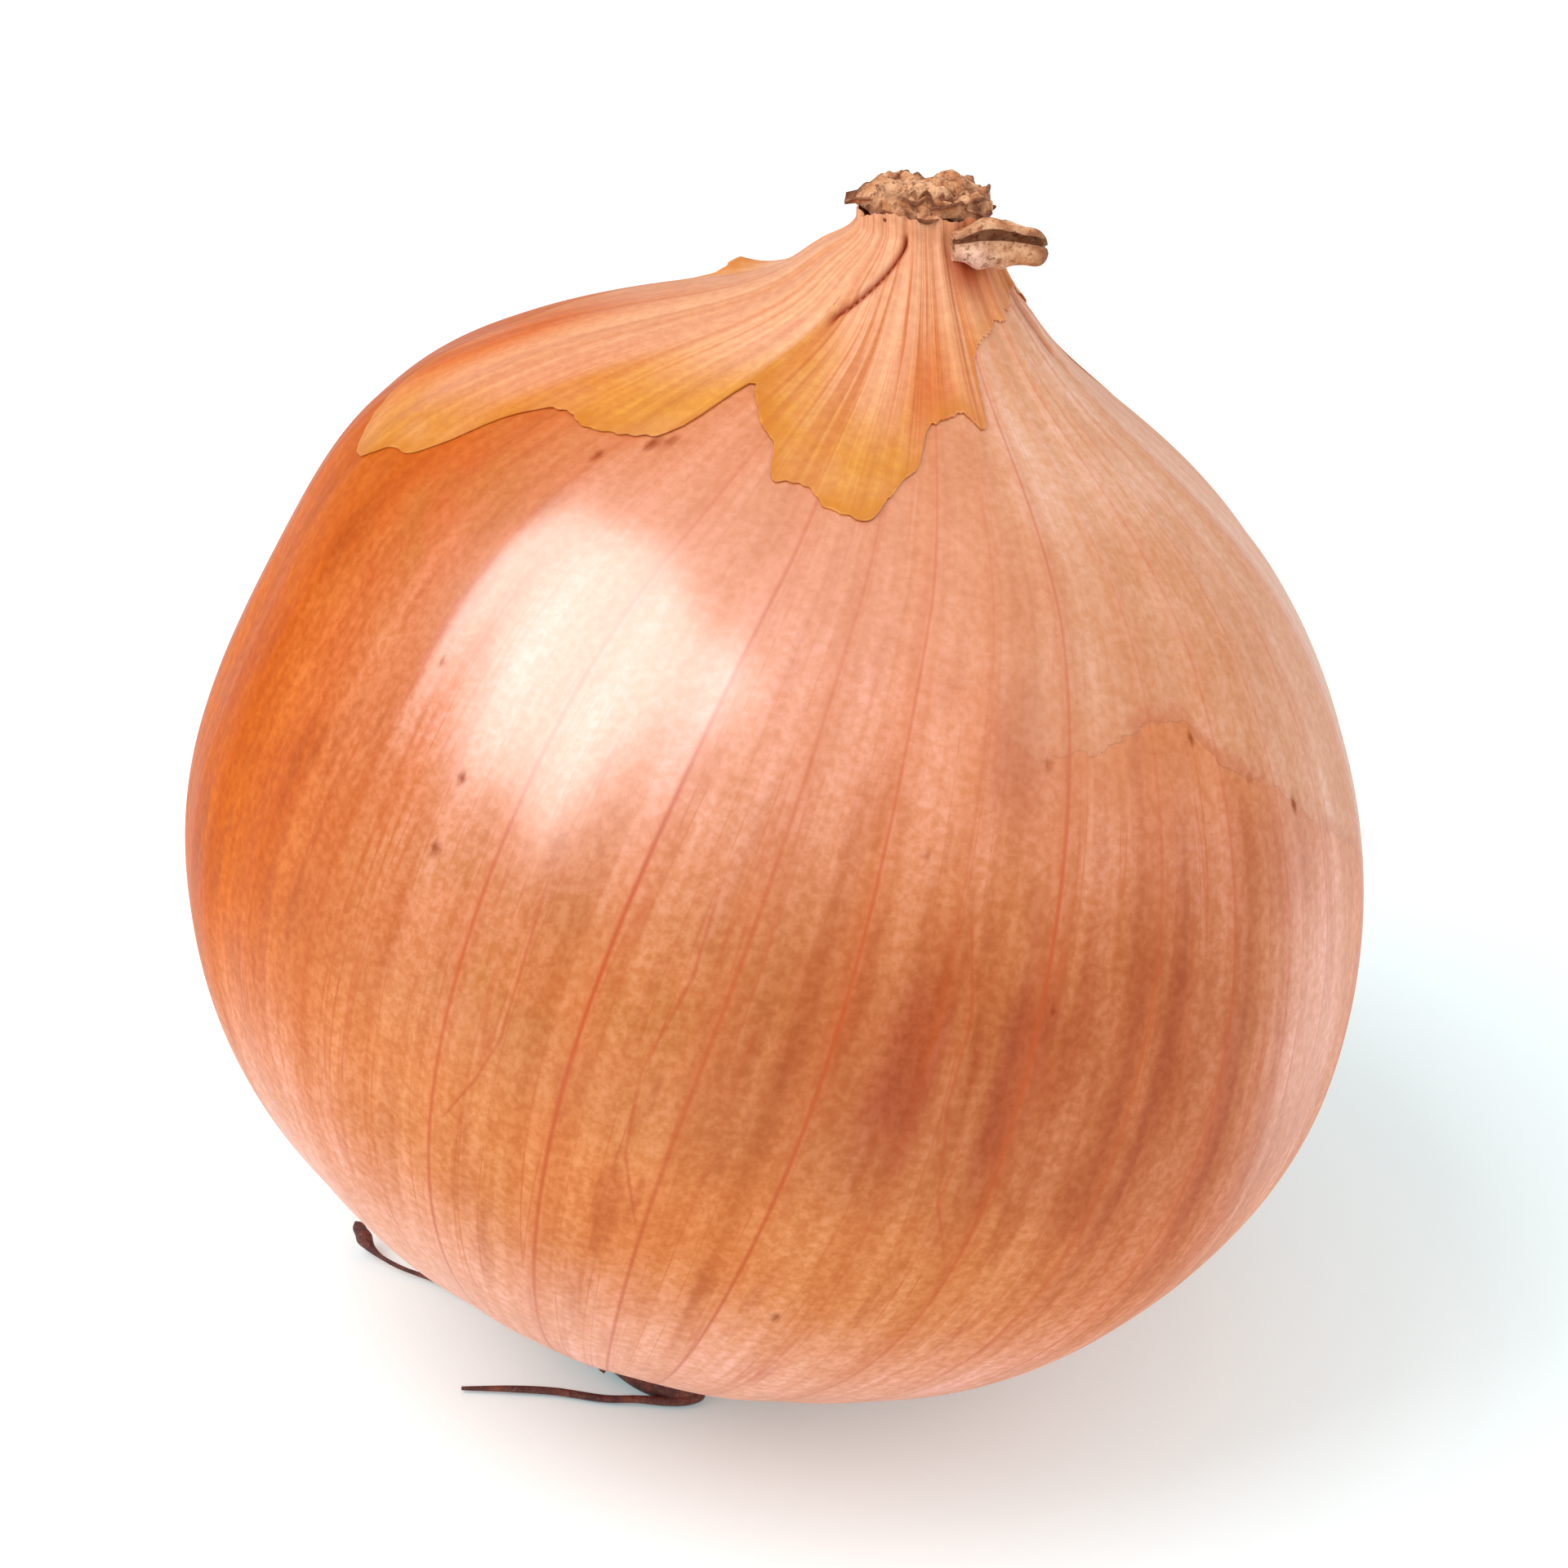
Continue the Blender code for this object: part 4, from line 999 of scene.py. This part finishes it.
def make_torn_skin():
    """A closed thin shell: its rows run down the outer face, round the torn edge and up inside."""
    azimuth = np.linspace(0.0, 2.0 * math.pi, TORN_COLUMNS, endpoint=False)[None, :]
    degrees = np.degrees(angle_between(azimuth, 0.0))
    ragged = 0.12 * ripples(azimuth * 9, 0, 3) + 0.05 * ripples(azimuth * 31, 0, 4)
    edge = (smooth_curve(degrees, TORN_EDGE) + ragged) * MM
    frayed = ripples(azimuth * 2, 0, 6) + 0.35 * ripples(azimuth * 7, 0, 9)
    front = np.exp(-(((degrees - 2) / 40) ** 2))
    top = NECK_TOP + 0.0003 + 0.00024 * frayed + 0.0006 * front
    rows = TORN_ROWS_OUT + TORN_ROWS_IN
    down = np.concatenate([np.linspace(0.0, 1.0, TORN_ROWS_OUT), np.linspace(1.0, 0.0, TORN_ROWS_IN)])
    lift = np.where(np.arange(rows) < TORN_ROWS_OUT, 0.00010, 0.00003)[:, None]
    # the outer row whose normals each row follows
    nearest = (down * (TORN_ROWS_OUT - 1) + 1e-6).astype(int)
    down = down[:, None]
    height = top + (edge - top) * down
    radius = radius_at(height)
    surface = skin(azimuth, radius, height)
    flake = smooth_step(1.0 - np.abs(angle_between(azimuth, FLAKE_AZIMUTH)) / FLAKE_HALF_WIDTH)
    curl = 0.00006 * smooth_step((down - 0.90) / 0.10) * (0.5 + 0.5 * ripples(azimuth * 4, 0, 8))
    lift = lift + FLAKE_LIFT * flake * down**8 + np.clip(curl, 0, None)
    direction = normals_of(surface[:TORN_ROWS_OUT], True)[nearest]
    places = laid_over(surface + direction * lift[..., None])
    faces = grid_faces(rows + 1, TORN_COLUMNS, True) % (rows * TORN_COLUMNS)
    gap = (height - edge) / MM
    marks = {name: patches(azimuth, height, table) for name, table in TORN_PATCHES.items()}
    marks["golden"] = smooth_step((7.0 - gap) / 5.0) * np.clip(0.25 + marks["golden"], 0, 1)
    marks["gloss"] += 0.3
    marks["streaky"] += 0.25
    marks["rim_gap"] = gap
    marks["fibre"] = at_azimuth(0.04, azimuth, 0.05 - height)
    # painted shade: darker in the deep folds and in a patch under the side curl
    marks["crease"] = np.clip(
        creases(azimuth, radius, height) + 0.9 * patch(azimuth, height, 37, 15, 45.6, 1.3), 0, 1)
    return make_piece("torn_golden_skin", places.reshape(-1, 3), faces, torn_material(),
                      "torn_skin", marks=for_each_point(marks, rows, TORN_COLUMNS))


# ---- The dried leaf ends ----

def neck_point():
    return np.array([-NECK_SHIFT, 0.0, NECK_TOP])


def cushion():
    """The shrivelled end of the neck: a low round cushion of lumps with clefts between them.

    With q from 0 in the middle of the top to 2 in the middle of the underside, the radius is
    sin(pi q / 2) to a small power times a ragged rim, and the height is its cosine times half the
    thickness. Each lump is a dome round its own middle, and the highest lump counts. Sharp folds
    are cut where a ripple field crosses zero. The clefts and folds on top, and the underside, are
    darkened with painted shade.
    """
    rows, columns = 64, 150
    q = np.linspace(0.01, 1.99, rows)[:, None]
    azimuth = np.linspace(0.0, 2.0 * math.pi, columns, endpoint=False)[None, :]
    ragged = 1.0 + 0.06 * np.cos(5 * azimuth + 0.6) + 0.05 * np.cos(8 * azimuth)
    ragged = ragged + 0.03 * ripples(np.cos(azimuth) * 3, np.sin(azimuth) * 3, 21)
    out = np.sin(0.5 * math.pi * q) ** 0.75
    radius = CUSHION_RADIUS * ragged * out
    x, y = radius * np.sin(azimuth), -radius * np.cos(azimuth)
    up = np.cos(0.5 * math.pi * q)
    chance = np.random.default_rng(40)
    lumps = np.full_like(x, -1.0)
    for k in range(CUSHION_LUMPS):
        far = CUSHION_RADIUS * math.sqrt((k + 0.5) / CUSHION_LUMPS)
        turn = 2.4 * k + chance.uniform(-0.4, 0.4)
        wide = chance.uniform(0.0008, 0.0015)
        gap = np.hypot(x - far * math.sin(turn), y + far * math.cos(turn)) / wide
        lumps = np.maximum(lumps, chance.uniform(0.6, 1.0) - gap**2)
    carve = 0.00034 * np.clip(lumps, -0.8, 1.0) + 0.00012 * ripples(x / MM, y / MM, 7)
    folds = np.zeros_like(x)
    for scale, deep, seed in ((0.24, 0.00050, 8), (0.42, 0.00030, 9)):
        away = np.abs(ripples(scale * x / MM, scale * y / MM, seed))
        carve = carve + deep * np.minimum(away, 0.8)
        folds = np.maximum(folds, 1.0 - smooth_step(away / 0.16))
    bulge = 0.0004 * np.exp(-((x - 0.0014) ** 2 + (y - 0.0004) ** 2) / 0.0019**2)
    height = 0.0010 * up + (carve + bulge) * smooth_step(up / 0.35) + CUT_SLOPE * x
    places = np.stack([x, 0.9 * y, height], axis=-1) + neck_point() + [-0.0001, 0.0003, 0.0007]
    # painted shade in the clefts and folds on top, and all over the underside
    cleft = np.maximum(1.0 - smooth_step((lumps + 0.35) / 0.6), 0.9 * folds)
    dark = np.clip(cleft * smooth_step(up / 0.2) + 0.8 * smooth_step((0.2 - up) / 0.3), 0, 1)
    return (places.reshape(-1, 3), capped_faces(rows, columns)), dark.ravel()


def leaf_rim(middle, width, out, tall, lean, seed):
    """A standing scrap of a cut leaf: an upright arc round the neck's middle, ragged on top.

    Its azimuth runs over width round middle. At share t of its height it stands at radius
    out + lean t^2, and its top edge is lowered by ripples.
    """
    t = np.linspace(0.0, 1.0, 12)[:, None]
    azimuth = math.radians(middle) + math.radians(width) * np.linspace(-0.5, 0.5, 44)[None, :]
    side = np.linspace(-1.0, 1.0, 44)[None, :]
    ragged = 0.75 + 0.25 * ripples(azimuth * 4.0, 0, seed)
    top = tall * np.clip(ragged, 0.35, 1.2) * (1.0 - 0.65 * side**6)
    radius = out * (1.0 + 0.05 * np.sin(5 * azimuth + seed)) + lean * t**2
    z = 0.0008 + (top + 0.0004) * t + CUT_SLOPE * radius * np.sin(azimuth)
    places = at_azimuth(radius, azimuth, z) + neck_point()
    body = walled(places, 0.00030 * (1.0 - 0.5 * t))
    dark = np.broadcast_to(0.9 * smooth_step((t - 0.55) / 0.45), z.shape).ravel()
    return body, np.concatenate([dark, dark])


def leaf_scrap(azimuth, start, length, width, droop, lift, seed):
    """A short dry leaf end that lies outwards over the rim and bends down.

    Along it the path is an arc of angle droop; across it is cupped by a square, and its width
    shrinks to a ragged blunt end.
    """
    along = np.linspace(0.0, 1.0, 16)[:, None]
    across = np.linspace(-1.0, 1.0, 13)[None, :]
    turn = droop * along
    reach = start + length * np.sin(turn) / droop
    drop = length * (np.cos(turn) - 1.0) / droop
    half = 0.5 * width * (1.0 - 0.45 * along**3) * (1.0 + 0.10 * ripples(along * 3, 0, seed))
    wave = 0.00012 * ripples(along * 1.5, across * 0.8, seed + 50)
    a = math.radians(azimuth)
    side = half * across
    x = reach * math.sin(a) + side * math.cos(a)
    y = -reach * math.cos(a) + side * math.sin(a)
    z = drop + lift + 0.25 * half * across**2 + wave + CUT_SLOPE * x
    places = np.stack(np.broadcast_arrays(x, y, z), axis=-1) + neck_point()
    body = walled(places, 0.00034 * (1.0 - 0.5 * np.abs(across) ** 3) * (1.0 - 0.4 * along**4))
    dark = np.clip(smooth_step((along - 0.7) / 0.3) + 0.6 * np.abs(across) ** 6, 0, 1).ravel()
    return body, np.concatenate([dark, dark])


def side_curl():
    """The long leaf end that sticks out sideways: folded lengthwise like a pod, slit along the front.

    At share t along it the half height grows, then closes as a circle's edge at the tip. Round it
    the angle runs from the upper lip over the back to the lower lip, and both lips roll inwards.
    """
    t = np.linspace(0.0, 1.0, 64)[:, None]
    facing = math.radians(28)
    turn = facing + np.radians(np.linspace(13, 347, 52))[None, :]
    tip = np.sqrt(np.clip(1.0 - (np.clip(t - 0.86, 0, 1) / 0.15) ** 2, 0.02, 1.0))
    swell = 0.00150 * tip * (0.5 + 0.5 * smooth_step(t / 0.35))
    swell = swell * (1.0 + 0.05 * ripples(t * 5, turn * 0.7, 12))
    swell = swell * (1.0 - 0.26 * smooth_step((t - 0.4) / 0.4))
    slit = smooth_step((np.cos(turn - facing) - 0.70) / 0.28)
    x = 0.0064 * t - 0.0006
    y = -swell * 0.80 * np.cos(turn) * (1.0 - 0.35 * slit)
    z = swell * np.sin(turn) * (1.0 + 0.25 * slit) - 0.0004 * t**2 + 0.0002 * np.sin(3.0 * t)
    places = np.stack(np.broadcast_arrays(x, y, z), axis=-1)
    turned = np.array(Matrix.Rotation(CURL_HEADING - math.pi / 2, 3, "Z")
                      @ Matrix.Rotation(CURL_TILT, 3, "Y"))
    out = np.array([math.sin(CURL_AZIMUTH), -math.cos(CURL_AZIMUTH), 0.0]) * CURL_OUT
    places = places @ turned.T + neck_point() + out + [0, 0, CURL_RISE]
    body = walled(places, 0.00042 * (1.0 - 0.4 * slit) * (0.4 + 0.6 * tip))
    # darker in the slit, which is painted shade, and towards the tip, which is brown
    dark = 0.45 * slit * (0.5 + 0.5 * t) + 0.35 * smooth_step((t - 0.75) / 0.25)
    dark = np.clip(dark + 0.25 * np.clip(ripples(t * 6, turn, 14), 0, 1), 0, 1).ravel()
    return body, np.concatenate([dark, dark])


def make_leaf_ends():
    """The plug that closes the neck: cushion, side curl, scraps and standing rims, one piece."""
    chance = np.random.default_rng(23)
    parts = [cushion(), side_curl()]
    for k, azimuth in enumerate(SCRAPS_AT):
        parts.append(leaf_scrap(azimuth + chance.uniform(-6, 6), 0.0016, chance.uniform(0.0024, 0.0031),
                                chance.uniform(0.0022, 0.0036), chance.uniform(0.15, 0.5),
                                0.0006 + 0.0007 * chance.random(), 60 + k))
    parts.append(leaf_scrap(-84, 0.0016, 0.0037, 0.0030, 0.25, 0.0010, 90))
    parts += [leaf_rim(*rim, 30 + k) for k, rim in enumerate(LEAF_RIMS)]
    points, faces = joined([body for body, dark in parts])
    # edge darkens torn edges and tips, and holds painted shade in the cushion's clefts and underside and
    # in the curl's slit
    # the curl's underside is fresher, and paler, next to the neck
    fresh = neck_point() + at_azimuth(CURL_OUT, CURL_AZIMUTH, -0.0011) + [0.0010, -0.0005, 0.0]
    marks = {"edge": np.concatenate([dark for body, dark in parts]),
             "pale": 0.9 * np.exp(-np.sum((points - fresh) ** 2, axis=1) / 0.0015**2)}
    return make_piece("dry_leaf_ends", laid_over(points), faces, leaf_end_material(),
                      "dry_neck", marks=marks)


# ---- The roots ----

def smooth_path(route, steps):
    """A smooth curve through the route's points, given in millimetres with the radius last.

    Between two points it is a cubic whose slopes are half the difference of the neighbours.
    """
    knots = np.array(route) * MM
    slopes = np.gradient(knots, axis=0)
    where = np.linspace(0.0, len(knots) - 1.0001, steps)
    k = where.astype(int)
    path = cubic((where - k)[:, None], knots[k], knots[k + 1], slopes[k], slopes[k + 1])
    return path[:, :3], path[:, 3]


def make_roots():
    """The root plate and its strands.

    A strand runs from the plate out along its heading. Its height falls exponentially to the floor,
    and it swings sideways by a sine that grows along it. Every third strand is short. The two long
    roots are tubes along curves of their own.
    """
    rows, columns = 24, 64
    q = np.linspace(0.02, 1.98, rows)[:, None]
    azimuth = np.linspace(0.0, 2.0 * math.pi, columns, endpoint=False)[None, :]
    middle = -ROOT_END_DEPTH + DIMPLE_DEPTH - 0.0003 - 0.00065
    radius = 0.0043 * np.sin(0.5 * math.pi * q) * (1.0 + 0.05 * np.cos(7 * azimuth))
    x, y = radius * np.sin(azimuth), -radius * np.cos(azimuth)
    z = middle + 0.00060 * np.cos(0.5 * math.pi * q) - 0.00010 * np.abs(ripples(x / MM, y / MM, 2))
    plate = laid_over(np.stack([x, y, z], axis=-1)).reshape(-1, 3)
    plate[:, 2] = np.maximum(plate[:, 2], 0.0002)

    chance = np.random.default_rng(17)
    count, steps = STRANDS, STRAND_STEPS
    along = np.linspace(0.0, 1.0, steps)[None, :]
    heading = np.radians(120 + 22 * chance.uniform(-1, 1, count))[:, None]
    length = 0.0150 * chance.uniform(0.35, 1.0, count)[:, None]
    short = np.arange(count) % 3 == 0
    heading[short] = np.radians(225 + 62 * chance.uniform(-1, 1, (short.sum(), 1)))
    length[short] = 0.0024 * chance.uniform(0.5, 1.0, (short.sum(), 1))
    off = 0.0026 * np.sqrt(chance.random(count))
    around = chance.uniform(0.0, 2.0 * math.pi, count)
    start = laid_over(np.stack([off * np.cos(around), off * np.sin(around),
                                np.full(count, middle - 0.0003)], axis=-1))
    phase = chance.uniform(0.0, 2.0 * math.pi, (count, 1))
    out = length * along
    swing = 0.0016 * along * np.sin(2.5 * along + phase)
    swing = swing + 0.00035 * along * np.sin(9.0 * along + 2 * phase)
    x = start[:, :1] + out * np.cos(heading) - swing * np.sin(heading)
    y = start[:, 1:2] + out * np.sin(heading) + swing * np.cos(heading)
    z = STRAND_HEIGHT + (start[:, 2:] - STRAND_HEIGHT) * np.exp(-out / 0.0013)
    radii = np.linspace(1.3, 0.45, steps) * STRAND_RADIUS * chance.uniform(0.7, 1.0, (count, 1))
    radii = radii * (1.0 + 0.12 * np.sin(40 * along + phase))
    bodies = [(plate, capped_faces(rows, columns)), tubes(np.stack([x, y, z], axis=-1), radii)]
    for route, seed in ((HOOKED_ROOT, 1), (TIPPED_ROOT, 2)):
        path, wide = smooth_path(route, ROOT_STEPS)
        wide = wide * (1.0 + 0.10 * ripples(np.linspace(0, 8, ROOT_STEPS), 0, seed))
        path[:, 2] = np.maximum(path[:, 2], wide + 0.00008)
        bodies.append(tubes(path[None], wide[None], sides=14))
    points, faces = joined(bodies)
    return make_piece("dried_roots", points, faces, root_material(), "root_tuft")


# ---- Floor, light and camera ----

def make_floor():
    """A plain pale floor just under the bulb. A faint light of its own keeps it nearly white."""
    mesh = bpy.data.meshes.new("floor")
    edge, level = 2.5, -0.00002
    corners = [(-edge, -edge, level), (edge, -edge, level), (edge, edge, level), (-edge, edge, level)]
    mesh.from_pydata(corners, [], [(0, 1, 2, 3)])
    material, tree, shader = new_material("pale_floor", 0.9, 0.0, 0.3)
    cloud = noise(tree, object_place(tree), 3.0, 2.0, 0.5)
    wire(tree, shader.inputs, Base_Color=mixed(tree, cloud, tint("floor"), tint("light floor")),
         Specular_IOR_Level=0.1, Emission_Color=(0.56, 0.94, 1.0, 1.0), Emission_Strength=0.22)
    mesh.materials.append(material)
    floor = bpy.data.objects.new("floor", mesh)
    bpy.context.scene.collection.objects.link(floor)


def softbox(name, toward, distance, wide, tall, radiance):
    """A rectangular light of that radiance, facing the bulb from a direction."""
    way = Vector(toward).normalized()
    light = bpy.data.lights.new(name, "AREA")
    light.shape = "RECTANGLE"
    light.size, light.size_y = wide, tall
    light.energy = radiance * math.pi * wide * tall
    lamp = bpy.data.objects.new(name, light)
    lamp.location = Vector(LIE[:3, 3]) + way * distance
    lamp.rotation_euler = way.to_track_quat("Z", "Y").to_euler()
    bpy.context.scene.collection.objects.link(lamp)


def make_light():
    """Two softboxes in a white room that is brighter on the right and overhead."""
    softbox("key_light", (-0.56, -0.20, 0.79), 0.62, 0.48, 0.60, 3.5)
    softbox("right_fill", (0.85, -0.40, 0.40), 0.8, 0.7, 0.6, 0.8)
    world = bpy.data.worlds.new("white_room")
    world.use_nodes = True
    tree = world.node_tree
    way = add_node(tree, "ShaderNodeSeparateXYZ", {0: object_place(tree)}).outputs
    across = span(tree, way[0], -0.7, 0.5, 0.34, 0.74)
    glow = number(tree, "ADD", across, span(tree, way[2], 0.1, 0.9, 0.0, 0.16))
    wire(tree, tree.nodes["Background"].inputs, Color=(1.0, 1.0, 1.0, 1.0), Strength=glow)
    bpy.context.scene.world = world


def make_camera():
    """A long lens that looks down at the bulb from the front."""
    toward = Vector((0.0, -math.cos(LOOK_DOWN), math.sin(LOOK_DOWN)))
    upward = Vector((0.0, math.sin(LOOK_DOWN), math.cos(LOOK_DOWN)))
    data = bpy.data.cameras.new("camera")
    data.sensor_width = SENSOR
    data.lens = LENS
    data.clip_start, data.clip_end = 0.05, 20.0
    camera = bpy.data.objects.new("camera", data)
    aim = Vector(LIE[:3, 3]) + Vector((AIM_RIGHT, 0.0, 0.0)) + upward * AIM_UP
    camera.location = aim + toward * CAMERA_DISTANCE
    camera.rotation_euler = toward.to_track_quat("Z", "Y").to_euler()
    bpy.context.scene.collection.objects.link(camera)
    bpy.context.scene.camera = camera


make_bulb_skin()
make_torn_skin()
make_leaf_ends()
make_roots()
make_floor()
make_light()
make_camera()
bpy.context.scene.view_settings.view_transform = "Standard"
